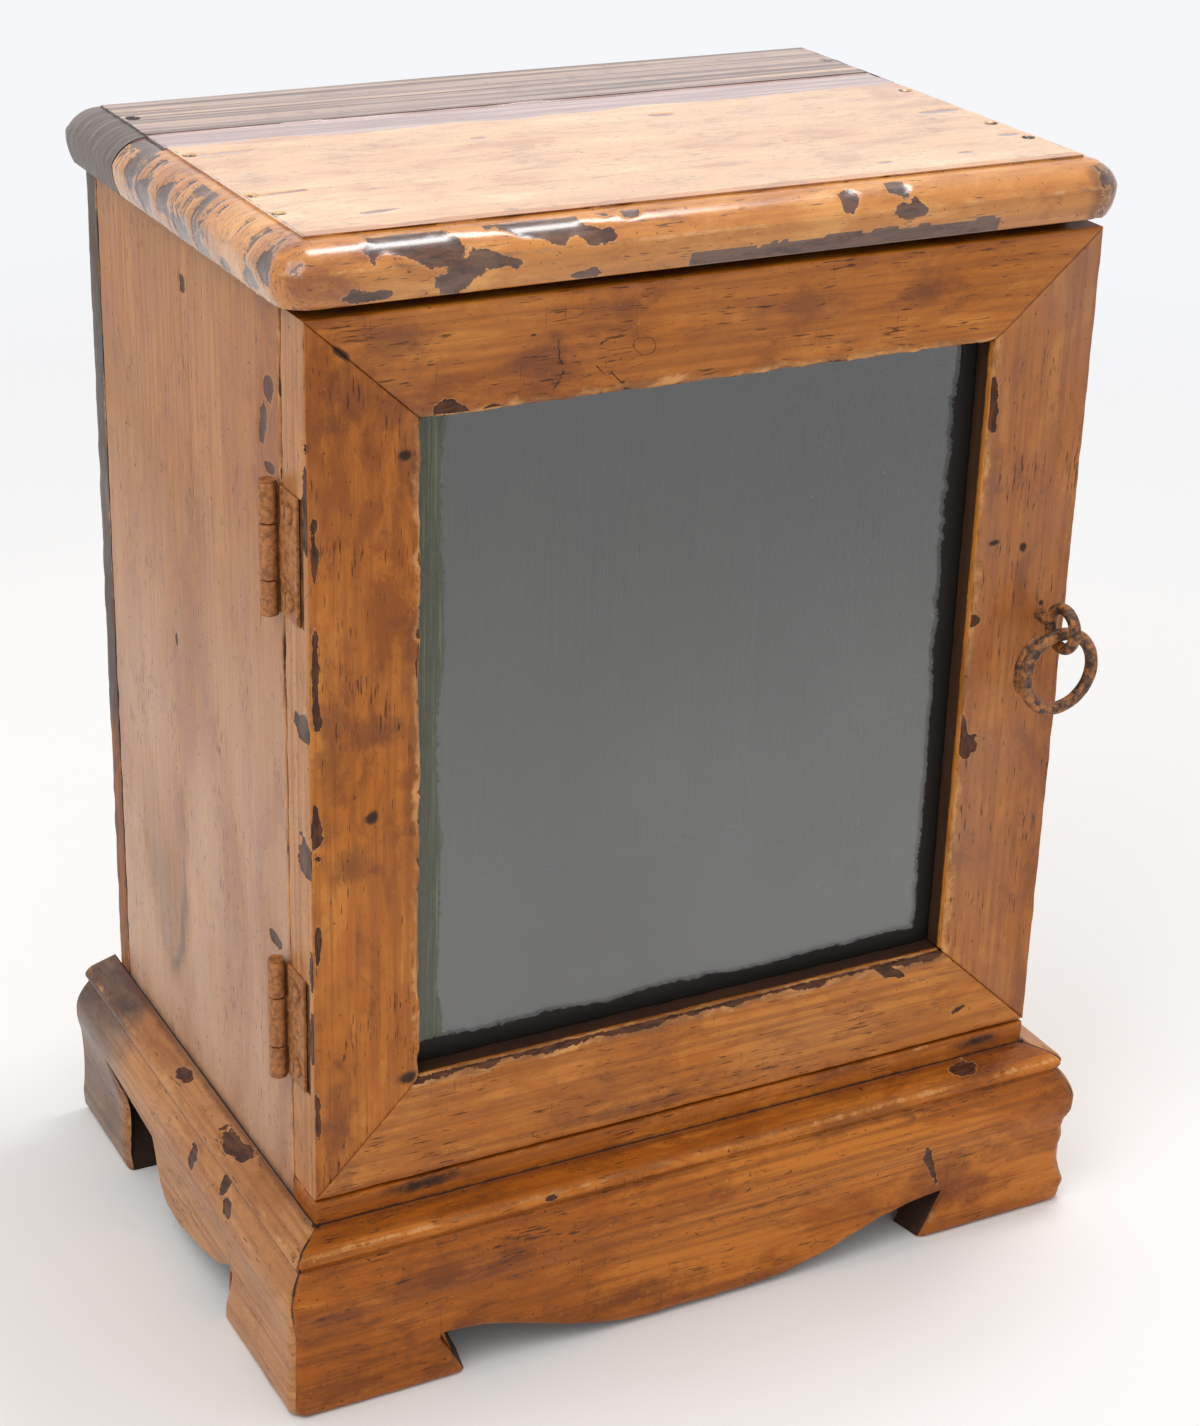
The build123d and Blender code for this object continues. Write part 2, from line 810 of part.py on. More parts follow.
def pull_ring():
    """Ring through the eye, its rod's tail lying behind it on the left."""
    centre_z = ring_axis_z - ring_line_radius
    ring_plane = Plane(origin=(eye_x, eye_y, centre_z), x_dir=(1, 0, 0), z_dir=(0, -1, 0))
    ring = ring_plane * Torus(ring_line_radius, ring_rod_radius)
    tail_plane = ring_plane.offset(-ring_tail_offset)
    start = ring_tail_start_deg
    path = tail_plane * CenterArc((0, 0), ring_line_radius, start, ring_tail_sweep_deg)
    section = Plane(origin=path @ 0, z_dir=path % 0) * Circle(ring_tail_rod_radius)
    return ring + sweep(section, path)


parts = {
    "top_front_board": top_front_board(),
    "top_rear_board": top_rear_board(),
    "side_panel_left": side_panel(-1),
    "side_panel_right": side_panel(1),
    "back_panel": back_panel(),
    "bottom_board": bottom_board(),
    "front_sill": front_sill(),
    "plinth_front": plinth_front(),
    "plinth_left": plinth_side(-1),
    "plinth_right": plinth_side(1),
    "top_nails": nails_for(top_nails),
    "back_nails": nails_for(back_nails),
    "plinth_nails": nails_for(plinth_front_places + plinth_side_places[-1] + plinth_side_places[1]),
    "floor_nails": nails_for(floor_places[-1] + floor_places[1]),
    "door_stile_left": door_stile_left(),
    "door_stile_right": door_stile_right(),
    "door_rail_top": door_rail(False),
    "door_rail_bottom": door_rail(True),
    "door_glass": door_glass(),
    "glazing_bead_top": glazing_bead("top"),
    "glazing_bead_bottom": glazing_bead("bottom"),
    "glazing_bead_left": glazing_bead("left"),
    "glazing_bead_right": glazing_bead("right"),
    "bead_pins": [rod(start, direction, bead_pin_radius, bead_pin_length)
                  for places in bead_pins.values() for start, direction in places],
    "mitre_nails": nails_for(mitre_places[-1] + mitre_places[1]),
    "case_leaf_screws": case_screws(),
    "door_leaf_screws": door_screws(),
    "pull_eye": pull_eye(),
    "pull_ring": pull_ring(),
}
for name, z in zip(("lower", "upper"), hinge_z):
    parts[name + "_hinge_case_leaf"] = hinge_case_leaf(z)
    parts[name + "_hinge_door_leaf"] = hinge_door_leaf(z)
    parts[name + "_hinge_pin"] = hinge_pin(z)


def solids_of(shape):
    """Solids of a shape or of a list of shapes."""
    shapes = shape if isinstance(shape, list) else [shape]
    return [solid for item in shapes for solid in item.solids()]


os.makedirs("parts", exist_ok=True)
for name, shape in parts.items():
    solids = solids_of(shape)
    node = solids[0] if len(solids) == 1 else Compound(children=solids)
    node.label = name
    export_step(node, "parts/" + name + ".step")
    print(name, len(solids), "solids")
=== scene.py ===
import functools
import math

import bmesh
import bpy
import numpy as np
from bpy.props import FloatProperty, FloatVectorProperty, PointerProperty
from mathutils import Euler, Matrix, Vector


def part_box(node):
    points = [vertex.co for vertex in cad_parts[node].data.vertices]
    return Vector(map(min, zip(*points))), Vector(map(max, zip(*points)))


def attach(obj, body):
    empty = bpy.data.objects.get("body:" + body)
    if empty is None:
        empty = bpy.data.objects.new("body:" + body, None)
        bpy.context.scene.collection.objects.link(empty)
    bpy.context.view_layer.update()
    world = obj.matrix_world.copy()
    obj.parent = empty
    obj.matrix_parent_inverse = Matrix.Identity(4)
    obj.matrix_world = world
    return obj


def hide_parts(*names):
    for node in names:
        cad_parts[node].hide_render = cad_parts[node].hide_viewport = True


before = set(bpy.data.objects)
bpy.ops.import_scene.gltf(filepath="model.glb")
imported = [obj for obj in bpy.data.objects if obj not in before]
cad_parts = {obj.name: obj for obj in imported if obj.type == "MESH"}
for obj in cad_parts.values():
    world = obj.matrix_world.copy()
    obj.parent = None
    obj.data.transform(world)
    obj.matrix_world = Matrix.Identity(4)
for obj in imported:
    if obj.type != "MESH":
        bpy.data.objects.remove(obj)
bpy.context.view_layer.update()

bl_info = {
    "name": "Wooden display box",
    "version": (1, 0, 0),
    "blender": (4, 5, 0),
    "location": "3D View > Sidebar > Display Box",
    "description": "Worn, painted boards, glass and old iron for a small wooden display box",
    "category": "Object",
}

# Shapes are worked out in millimetres and become metres when a mesh is made
MM = 0.001


def node_box(*names):
    """Lowest and highest corner of some CAD nodes together, in mm."""
    corners = np.array([[tuple(corner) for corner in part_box(name)] for name in names]) / MM
    return corners[:, 0].min(axis=0), corners[:, 1].max(axis=0)


# Planes of the object, read from the frame
STILE_LOW, STILE_HIGH = node_box("door_stile_left")
RIGHT_STILE_LOW, RIGHT_STILE_HIGH = node_box("door_stile_right")
FRONT_Y = STILE_LOW[1]
DOOR_BACK_Y = STILE_HIGH[1]
HALF_WIDTH = RIGHT_STILE_HIGH[0]
OPENING_LEFT = STILE_HIGH[0]
OPENING_RIGHT = RIGHT_STILE_LOW[0]
OPENING_BOTTOM = node_box("door_rail_bottom")[1][2]
OPENING_TOP = node_box("door_rail_top")[0][2]
DOOR_BOTTOM = STILE_LOW[2]
DOOR_TOP = STILE_HIGH[2]
CASE_FRONT_Y = node_box("side_panel_left")[0][1]
GLASS_LOW, GLASS_HIGH = node_box("door_glass")
GLASS_FRONT_Y = GLASS_LOW[1]
REBATE = GLASS_HIGH[0] - OPENING_RIGHT + 0.4
DOOR_LEAVES = [node_box(f"{end}_hinge_door_leaf") for end in ("lower", "upper")]
EYE_LOW, EYE_HIGH = node_box("pull_eye")

# Wear of the wood and its nail pits, in mm
ARRIS_REACH = 4.0
PIT_RADIUS = 2.15
PIT_DEPTH = 1.25
TOP_NAIL_X = HALF_WIDTH - 7.5
TOP_NAIL_OFFSETS = (17.0, 39.0, 92.0, 146.0)

# Marks that a shape carries for its materials, each from 0 to 1
MARKS = ("chip", "rub_and_highlight", "soot_and_shade", "craze", "band", "hatch", "light", "haze_and_sheen", "stain")
# Pairs of axes that marks are placed along: on the top, on the front and on the sides
TOP_AXES, FRONT_AXES, SIDE_AXES = (0, 1), (0, 2), (1, 2)


def srgb(red, green, blue):
    """Linear colour of three values from 0 to 255."""
    values = np.array([red, green, blue]) / 255
    linear = np.where(values <= 0.04045, values / 12.92, ((values + 0.055) / 1.055) ** 2.4)
    return (*[float(v) for v in linear], 1.0)


def unit(value):
    """A value, held between 0 and 1."""
    return np.clip(value, 0, 1)


# Noise


# Cells of the noise's lattice along each axis, after which it repeats
NOISE_CELLS = 64


def cell_noise(points, size, seed):
    """Value noise from -1 to 1: random numbers on a cubic lattice whose cell is size mm, one number or
    one for each axis, blended between the lattice's corners by the smooth step 3t^2 - 2t^3."""
    table = np.random.default_rng(seed).uniform(-1, 1, (NOISE_CELLS,) * 3)
    place = points / np.asarray(size, float)
    cell = np.floor(place).astype(int)
    t = place - cell
    t = t * t * (3 - 2 * t)
    value = np.zeros(points.shape[:-1])
    for corner in np.ndindex(2, 2, 2):
        weight = np.prod(np.where(np.array(corner) == 1, t, 1 - t), axis=-1)
        index = (cell + corner) % NOISE_CELLS
        value += weight * table[index[..., 0], index[..., 1], index[..., 2]]
    return value


def rough_noise(points, size, seed, octaves=3):
    """Sum of cell noise whose cells and heights halve from one octave to the next, from about -1 to 1."""
    size = np.asarray(size, float)
    total = sum(cell_noise(points, size / 2**i, seed + i) / 2**i for i in range(octaves))
    return total / (2 - 2.0 ** (1 - octaves))


# Shells: grids of points that close into one surface


# Points nearer than this become one
WELD_MM = 0.002


class Shell:
    """Grids of points in mm, each with its outward normal and its nearness to an arris from 0 to 1."""

    def __init__(self):
        self.points, self.normals, self.near, self.quads, self.caps = [], [], [], [], []
        self.marks = {}
        self.count = 0

    def add(self, points, normals, near):
        """Adds a grid of rows and columns as quads and returns the indices of its points."""
        rows, columns = points.shape[:2]
        index = np.arange(rows * columns).reshape(rows, columns) + self.count
        quads = np.stack([index[:-1, :-1], index[1:, :-1], index[1:, 1:], index[:-1, 1:]], axis=-1)
        self.points.append(points.reshape(-1, 3))
        self.normals.append(np.broadcast_to(normals, points.shape).reshape(-1, 3))
        self.near.append(np.broadcast_to(near, points.shape[:2]).reshape(-1))
        self.quads.append(quads.reshape(-1, 4))
        self.count += rows * columns
        return index

    def join(self, other):
        """Adds a closed shell as it is."""
        self.points.append(other.points)
        self.normals.append(other.normals)
        self.near.append(other.near)
        self.quads.append(other.quads + self.count)
        self.count += len(other.points)

    def close(self):
        """Welds points that lie together, so that every grid shares its border with its neighbours."""
        points = np.concatenate(self.points)
        keys = np.round(points / WELD_MM).astype(np.int64)
        _, first, back = np.unique(keys, axis=0, return_index=True, return_inverse=True)
        back = back.reshape(-1)
        normals = np.zeros((len(first), 3))
        np.add.at(normals, back, np.concatenate(self.normals))
        normals /= np.maximum(np.linalg.norm(normals, axis=1, keepdims=True), 1e-9)
        self.settle(points[first], normals)
        self.near = self.peaks(np.concatenate(self.near), back)
        self.quads = back[np.concatenate(self.quads)]
        self.caps = [list(dict.fromkeys(back[np.asarray(cap)].tolist())) for cap in self.caps]
        self.marks = {name: self.peaks(value, back) for name, value in self.marks.items()}
        return self

    def settle(self, points, normals):
        """Gives every point its place and its normal, and remembers the unworn places."""
        self.points, self.rest, self.normals = points, points, normals

    def peaks(self, values, back):
        """Highest of the values that fall together on each welded point."""
        kept = np.zeros(len(self.points))
        np.maximum.at(kept, back, values)
        return kept

    def faces(self):
        """Quads and caps, where a quad with a point twice becomes a triangle."""
        ordered = np.sort(self.quads, axis=1)
        whole = (np.diff(ordered, axis=1) > 0).all(axis=1)
        folded = [list(dict.fromkeys(quad)) for quad in self.quads[~whole].tolist()]
        return self.quads[whole].tolist() + [face for face in folded if len(face) == 3] + self.caps

    def sink(self, depth):
        """Moves every point inward by its own depth in mm."""
        self.points = self.points - self.normals * np.maximum(depth, 0)[:, None]
        return self

    def mark(self, name, value, where=True):
        """Keeps the highest value of a named mark at each point of a region, from 0 to 1."""
        before = self.marks.get(name, np.zeros(len(self.points)))
        self.marks[name] = np.maximum(before, np.where(where, unit(value), 0))
        return self

    def noise(self, size, seed, octaves=3):
        """Rough noise at the unworn places."""
        return rough_noise(self.rest, size, seed, octaves)

    def noise_along_x(self, size, seed, octaves):
        """Rough noise of x alone, for a ragged line that runs along x."""
        return rough_noise(self.rest * (1, 0, 0), size, seed, octaves)

    def patches(self, axes, marks, wobble=0.0):
        """Highest of some marks' values at each point: above 0.5 inside an ellipse, below 0.5 outside. A
        mark is its centre along the two axes, its two half sizes and its turn in degrees, and the noise
        makes its outline ragged."""
        value = np.zeros(len(self.rest))
        shift = wobble * self.noise(6.0, 5)
        for a, b, half_a, half_b, turn in marks:
            da, db = self.rest[:, axes[0]] - a, self.rest[:, axes[1]] - b
            c, s = math.cos(math.radians(turn)), math.sin(math.radians(turn))
            reach = np.hypot((da * c + db * s) / half_a, (db * c - da * s) / half_b)
            value = np.maximum(value, 1 - 0.5 * reach * (1 + shift))
        return np.clip(value, 0, 1)

    def worn(self, depth, seed, size=7.0, ripple=0.12):
        """Wears the arrises by the square of their nearness times a noise, and ripples the faces."""
        bite = np.clip(0.45 + 0.9 * rough_noise(self.points, size, seed), 0, 1.5)
        wave = ripple * (1 + rough_noise(self.points, 38.0, seed + 9, 2))
        self.mark("rub_and_highlight", self.near * (0.35 + 0.65 * bite))
        return self.sink(depth * self.near**2 * bite + wave)

    def chipped(self, values, depth, where=True):
        """Lowers a region by the depth of its paint where values pass one half, and marks the bare wood."""
        values = np.where(where, values, 0)
        self.mark("chip", values)
        return self.sink(depth * unit((values - 0.42) / 0.16))

    def let_in(self, lowest, highest, axis, shift):
        """Presses the part of the shell between two corners along an axis, and darkens it as painted shade in
        the recess.
        """
        inside = ((self.points > np.array(lowest)) & (self.points < np.array(highest))).all(axis=1)
        self.points[inside, axis] += shift
        return self.mark("soot_and_shade", 0.62, inside)

    def nail_pits(self, places, axes, facing):
        """Presses a nail pit at each place into the faces that look along the facing axis, with a dark,
        ragged rim round it."""
        looks_out = self.normals[:, facing] > 0.6
        depth, rim = np.zeros((2, len(self.points)))
        ragged = 1.3 * rough_noise(self.points, 3.0, 31)
        for a, b in places:
            reach = np.hypot(self.points[:, axes[0]] - a, self.points[:, axes[1]] - b)
            rim = np.maximum(rim, unit((PIT_RADIUS + 0.7 + ragged - reach) / 1.3))
            depth = np.maximum(depth, PIT_DEPTH * unit((PIT_RADIUS * 1.08 - reach) / 0.35))
        self.points[:, facing] -= np.where(looks_out, depth, 0)
        return self.mark("soot_and_shade", rim, looks_out)


def spaced(low, high, step, rim=(), extra=()):
    """Places from low to high: a few close to each end, then even steps, and some extra ones."""
    margin = max(rim, default=0)
    count = max(int(round((high - low - 2 * margin) / step)), 1)
    middle = np.linspace(low + margin, high - margin, count + 1)
    places = np.concatenate([middle, low + np.array(rim), high - np.array(rim), np.array(extra, float)])
    places = np.unique(np.round(places, 4))
    return np.concatenate([[low], places[(places > low + 0.001) & (places < high - 0.001)], [high]])


def pit_lines(centres):
    """Grid lines that draw a nail pit's rim, wall and floor at each centre."""
    around = PIT_RADIUS * np.array([-1.15, -0.95, -0.6, 0, 0.6, 0.95, 1.15])
    return [centre + offset for centre in centres for offset in around]


def plank(low, high, radius, steps, extra=((), (), ())):
    """Board with rounded arrises: every point of a box's six faces takes its nearest point of the box
    shrunk by the radius, and stands one radius from it in the same direction."""
    shell = Shell()
    low, high = np.asarray(low, float), np.asarray(high, float)
    rim = radius * np.array([0, 0.3, 0.65, 1])
    lines = [spaced(low[i], high[i], steps[i], rim, extra[i]) for i in range(3)]
    for axis in range(3):
        a, b = [i for i in range(3) if i != axis]
        across, along = np.meshgrid(lines[a], lines[b], indexing="ij")
        for value in (low[axis], high[axis]):
            raw = np.empty(across.shape + (3,))
            raw[..., a], raw[..., b], raw[..., axis] = across, along, value
            core = np.clip(raw, low + radius, high - radius)
            out = raw - core
            out /= np.linalg.norm(out, axis=-1, keepdims=True)
            gap = np.minimum(raw - low, high - raw)
            gap[..., axis] = np.inf
            near = unit(1 - gap.min(axis=-1) / ARRIS_REACH)
            shell.add(core + radius * out, out, near)
    return shell.close()


def rounded_outline(corners, radius, step):
    """Closed outline through counterclockwise corners, each turned into an arc. Gives the points, their
    outward normals and their nearness to a convex corner."""
    corners = np.asarray(corners, float)
    points, normals = [], []
    bends, convex = [], []
    for before, corner, after in zip(np.roll(corners, 1, 0), corners, np.roll(corners, -1, 0)):
        inward = (corner - before) / np.linalg.norm(corner - before)
        outward = (after - corner) / np.linalg.norm(after - corner)
        turn = math.atan2(inward[0] * outward[1] - inward[1] * outward[0], inward @ outward)
        r = radius if turn > 0 else 0.3
        side = 1 if turn > 0 else -1
        start = corner - inward * r * math.tan(abs(turn) / 2)
        centre = start + side * r * np.array([-inward[1], inward[0]])
        cosine, sine = np.cos(np.linspace(0, turn, 5)), np.sin(np.linspace(0, turn, 5))
        arm = start - centre
        arc = np.stack([arm[0] * cosine - arm[1] * sine, arm[0] * sine + arm[1] * cosine], axis=1)
        bends.append((centre + arc, side * arc / r))
        if turn > 0:
            convex.append(corner)
    for (arc, arc_normals), (following, _) in zip(bends, bends[1:] + bends[:1]):
        count = max(int(round(np.linalg.norm(following[0] - arc[-1]) / step)), 1)
        run = np.linspace(arc[-1], following[0], count + 1)[1:-1]
        points.extend([arc, run])
        normals.extend([arc_normals, np.broadcast_to(arc_normals[-1], run.shape)])
    points, normals = np.concatenate(points), np.concatenate(normals)
    gap = np.linalg.norm(points[:, None] - np.array(convex)[None], axis=-1).min(axis=1)
    return points, normals, unit(1 - gap / ARRIS_REACH)


# Mitred frame: gap at a mitre, radius of the arrises, and how far and over what length the front drops
MITRE_GAP = 0.12
SECTION_RADIUS = 1.0
MITRE_DROP = 0.5
MITRE_DROP_REACH = 1.4


def mitred_member(outer, inward, along, ends, width, step, lines=()):
    """Frame piece: a rebated section carried along one axis between two mitre planes. A point of the
    section at w mm from the outer edge runs from ends[0] to ends[1], each a line in w. The front arris
    drops away towards the mitre, which opens the joint a little."""
    shell = Shell()
    rebated = width - REBATE
    corners = [(0, FRONT_Y), (width, FRONT_Y), (width, GLASS_FRONT_Y)]
    corners += [(rebated, GLASS_FRONT_Y), (rebated, DOOR_BACK_Y), (0, DOOR_BACK_Y)]
    outline, flat_normals, near = rounded_outline(corners, SECTION_RADIUS, step)
    w, y = outline[:, 0], outline[:, 1]
    (low_outer, low_inner), (high_outer, high_inner) = ends
    low = low_outer + (low_inner - low_outer) * w / width + MITRE_GAP
    high = high_outer + (high_inner - high_outer) * w / width - MITRE_GAP
    length = high_outer - low_outer
    extra = [line - low_outer for line in lines]
    fraction = spaced(0, length, step, (0, 0.35, 0.8, MITRE_DROP_REACH), extra) / length
    s = low + fraction[:, None] * (high - low)
    across = 2 - along
    points = np.empty(s.shape + (3,))
    points[..., along], points[..., across], points[..., 1] = s, outer + inward * w, y
    normals = np.zeros(s.shape + (3,))
    normals[..., across], normals[..., 1] = inward * flat_normals[:, 0], flat_normals[:, 1]
    from_end = np.minimum(fraction, 1 - fraction) * length
    opened = MITRE_DROP * unit(1 - from_end / MITRE_DROP_REACH) ** 2
    points[..., 1] += opened[:, None] * (flat_normals[:, 1] < -0.5)
    ring = np.concatenate([np.arange(len(w)), [0]])
    index = shell.add(points[:, ring], normals[:, ring], near[ring])
    shell.caps = [index[0, :-1], index[-1, :-1]]
    return shell.close()


def new_object(name, data):
    """Object of a mesh, a lamp or a camera in the scene."""
    made = bpy.data.objects.new(name, data)
    bpy.context.scene.collection.objects.link(made)
    return made


def make_piece(name, shell, body, node, material, sharp=50):
    """Mesh object of a shell that rides on a body, stands for its node and carries its marks."""
    mesh = bpy.data.meshes.new(name)
    mesh.from_pydata((shell.points * MM).tolist(), [], shell.faces())
    for mark in MARKS:
        layer = mesh.attributes.new(mark, "FLOAT", "POINT")
        value = shell.marks.get(mark, np.zeros(len(shell.points)))
        layer.data.foreach_set("value", value.astype(np.float32))
    work = bmesh.new()
    work.from_mesh(mesh)
    bmesh.ops.recalc_face_normals(work, faces=work.faces)
    work.to_mesh(mesh)
    work.free()
    mesh.polygons.foreach_set("use_smooth", [True] * len(mesh.polygons))
    mesh.set_sharp_from_angle(angle=math.radians(sharp))
    mesh.materials.append(material)
    piece = new_object(name, mesh)
    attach(piece, body)
    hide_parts(node)


def carry_over(nodes, material):
    """Gives CAD nodes that keep their own shape a finish."""
    for name in nodes:
        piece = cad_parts[name]
        piece.data.materials.clear()
        piece.data.materials.append(material)


# Materials


class Nodes:
    """Node tree of a new material or world, with one short call for each kind of node in use."""

    def __init__(self, name, owners="materials", output="ShaderNodeOutputMaterial"):
        self.owner = getattr(bpy.data, owners).new(name)
        self.owner.use_nodes = True
        self.tree = self.owner.node_tree
        self.tree.nodes.clear()
        self.output = self.tree.nodes.new(output)

    @functools.cached_property
    def place(self):
        """Object coordinates, from a node that is made where they are first read."""
        return self.tree.nodes.new("ShaderNodeTexCoord").outputs["Object"]

    def add(self, kind, inputs=(), **settings):
        """New node; inputs pairs a socket's name or number with a value or another node's output."""
        node = self.tree.nodes.new(kind)
        for key, value in settings.items():
            setattr(node, key, value)
        for key, value in dict(inputs).items():
            if isinstance(value, bpy.types.NodeSocket):
                self.tree.links.new(value, node.inputs[key])
            else:
                node.inputs[key].default_value = value
        return node

    def stretched(self, scale, turn=(0, 0, 0)):
        """Object coordinates times a scale for each axis."""
        inputs = {"Vector": self.place, "Scale": scale, "Rotation": turn}
        return self.add("ShaderNodeMapping", inputs).outputs[0]

    def noise(self, vector, scale, detail=4, roughness=0.55, distortion=0.0):
        """Noise from 0 to 1."""
        inputs = {"Vector": vector, "Scale": scale, "Detail": detail, "Roughness": roughness}
        inputs["Distortion"] = distortion
        return self.add("ShaderNodeTexNoise", inputs).outputs["Fac"]

    def speckle(self, scale, detail, roughness, distortion=0.0):
        """Noise that is alike in every direction."""
        return self.noise(self.place, scale, detail, roughness, distortion)

    def grain(self, axis, along, across, detail, roughness, distortion=0.0):
        """Noise that is stretched along the wood's grain: two scales, one along the axis, one across."""
        scale = tuple(along if i == axis else across for i in range(3))
        return self.noise(self.stretched(scale), 1.0, detail, roughness, distortion)

    def rise(self, value, low, high, smallest=0.0, largest=1.0):
        """Smooth step of a value from smallest at low to largest at high."""
        inputs = {"Value": value, "From Min": low, "From Max": high, "To Min": smallest, "To Max": largest}
        return self.add("ShaderNodeMapRange", inputs, interpolation_type="SMOOTHSTEP").outputs["Result"]

    def maths(self, operation, a, b=0.0, clamp=False):
        """One arithmetic step."""
        return self.add("ShaderNodeMath", {0: a, 1: b}, operation=operation, use_clamp=clamp).outputs[0]

    def plus(self, a, b, clamp=False):
        """Sum."""
        return self.maths("ADD", a, b, clamp)

    def minus(self, a, b):
        """Difference."""
        return self.maths("SUBTRACT", a, b)

    def times(self, a, b):
        """Product."""
        return self.maths("MULTIPLY", a, b)

    def larger(self, a, b):
        """The larger one."""
        return self.maths("MAXIMUM", a, b)

    def mix(self, factor, a, b):
        """Colour between a and b."""
        return self.add("ShaderNodeMix", {0: factor, 6: a, 7: b}, data_type="RGBA").outputs[2]

    def toned(self, tone, palette):
        """Colour from the dark through the middle to the light one of a palette."""
        light, mid, dark = palette
        return self.mix(self.rise(tone, 0.5, 0.62), self.mix(self.rise(tone, 0.4, 0.5), dark, mid), light)

    def mark(self, name):
        """A mark that the shape carries."""
        return self.add("ShaderNodeAttribute", attribute_name=name).outputs["Fac"]

    def layered(self, factor, below, above):
        """Shader between two others."""
        inputs = {0: factor, 1: below.outputs[0], 2: above.outputs[0]}
        return self.add("ShaderNodeMixShader", inputs)

    def surface(self, colour, roughness, **settings):
        """Principled shader; settings go straight on its sockets."""
        inputs = {"Base Color": colour, "Roughness": roughness}
        inputs.update({key.replace("_", " "): value for key, value in settings.items()})
        return self.add("ShaderNodeBsdfPrincipled", inputs)

    def finish(self, shader):
        """The material or world with a shader on its surface."""
        self.tree.links.new(shader.outputs[0], self.output.inputs[0])
        return self.owner

    def bumped(self, colour, roughness, height, strength, distance, **settings):
        """The material with a principled shader and a bump of a height."""
        bump = self.add("ShaderNodeBump", {"Height": height, "Strength": strength, "Distance": distance})
        return self.finish(self.surface(colour, roughness, Normal=bump.outputs[0], **settings))


def paint_tones(n, palette, axis, banded, streaks):
    """Paint's cloudy tone, from its palette or, under the band mark, from a second one, with dark streaks
    of grain. Gives the colour and the three noises behind it."""
    cloud = n.grain(axis, 8, 24, 4, 0.6, 0.4)
    patch = n.grain(axis, 34, 90, 6, 0.7, 0.5)
    grain = n.grain(axis, 12, 430, 5, 0.62, 0.15)
    # The light mark lifts the tone: lighter paint, and painted light on the plinth's crest and the door's
    # edge
    tone = n.plus(n.plus(n.times(cloud, 0.5), n.times(patch, 0.5)), n.times(n.mark("light"), 0.12))
    colour = n.toned(tone, palette)
    deep = palette[-1]
    if banded is not None:
        colour = n.mix(n.rise(n.mark("band"), 0.3, 0.7), colour, n.toned(tone, banded))
        deep = n.mix(n.mark("band"), palette[-1], banded[-1])
    return n.mix(n.rise(grain, 0.36, 0.58, streaks, 0.0), colour, deep), cloud, patch, grain


def stained(n, looks, axis, colour, mottle, cluster):
    """Brown mottling everywhere and thicker under the stain mark, and clusters of fine dark scratches."""
    blotch = n.grain(axis, 30, 70, 8, 0.72, 0.8)
    colour = n.mix(n.rise(blotch, 0.53, 0.72, 0.0, mottle), colour, looks.stain)
    thick = n.plus(n.mark("stain"), n.times(n.speckle(160.0, 8, 0.8), 1.1))
    colour = n.mix(n.rise(thick, 0.7, 1.3, 0.0, 0.55), colour, looks.stain)
    strokes = n.noise(n.stretched((1300, 1300, 60), (0.1, 0.5, 0.2)), 1.0, 2, 0.5)
    scratch = n.times(n.rise(strokes, 0.66, 0.7), n.rise(cluster, 0.48, 0.6))
    return n.mix(n.times(scratch, 0.45), colour, looks.dirt)


def pored(n, looks, axis, colour, cluster):
    """Broken, dirty pores along the grain and pale and dark specks. Gives the colour and the pores."""
    pore = n.rise(n.plus(n.grain(axis, 140, 1500, 2, 0.5), n.times(cluster, 0.45)), 0.87, 0.96)
    colour = n.mix(n.times(pore, 0.75), colour, looks.dirt)
    speck = n.speckle(640.0, 2, 0.5)
    colour = n.mix(n.rise(speck, 0.25, 0.29, 0.3, 0.0), colour, looks.rubbed_and_highlit)
    return n.mix(n.rise(speck, 0.69, 0.74, 0.0, 0.75), colour, looks.dirt), pore


def flaked(n, looks, colour):
    """Dark fragments of the line where the craze mark passes one half, moved about by noise. Gives the
    colour and the line."""
    wander = n.times(n.minus(n.speckle(260.0, 3, 0.6), 0.5), 0.1)
    from_line = n.maths("ABSOLUTE", n.minus(n.plus(n.mark("craze"), wander), 0.5))
    fragments = n.rise(n.speckle(130.0, 3, 0.6), 0.5, 0.56)
    line = n.times(n.rise(from_line, 0.004, 0.03, 1.0, 0.0), fragments)
    return n.mix(line, colour, looks.dirt), line


def rubbed_thin(n, looks, colour, patch, coarse):
    """Paint rubbed thin and soiled, and painted highlights, where the mark for rubbing is high. Gives the
    colour and how far it is rubbed.
    """
    rubbed_and_highlit = n.rise(n.plus(n.mark("rub_and_highlight"), n.times(coarse, 0.9)), 0.8, 1.02, 0.0, 0.85)
    worn_tone = n.mix(n.rise(patch, 0.4, 0.62), looks.rubbed_dark, looks.rubbed_and_highlit)
    return n.mix(rubbed_and_highlit, colour, worn_tone), rubbed_and_highlit


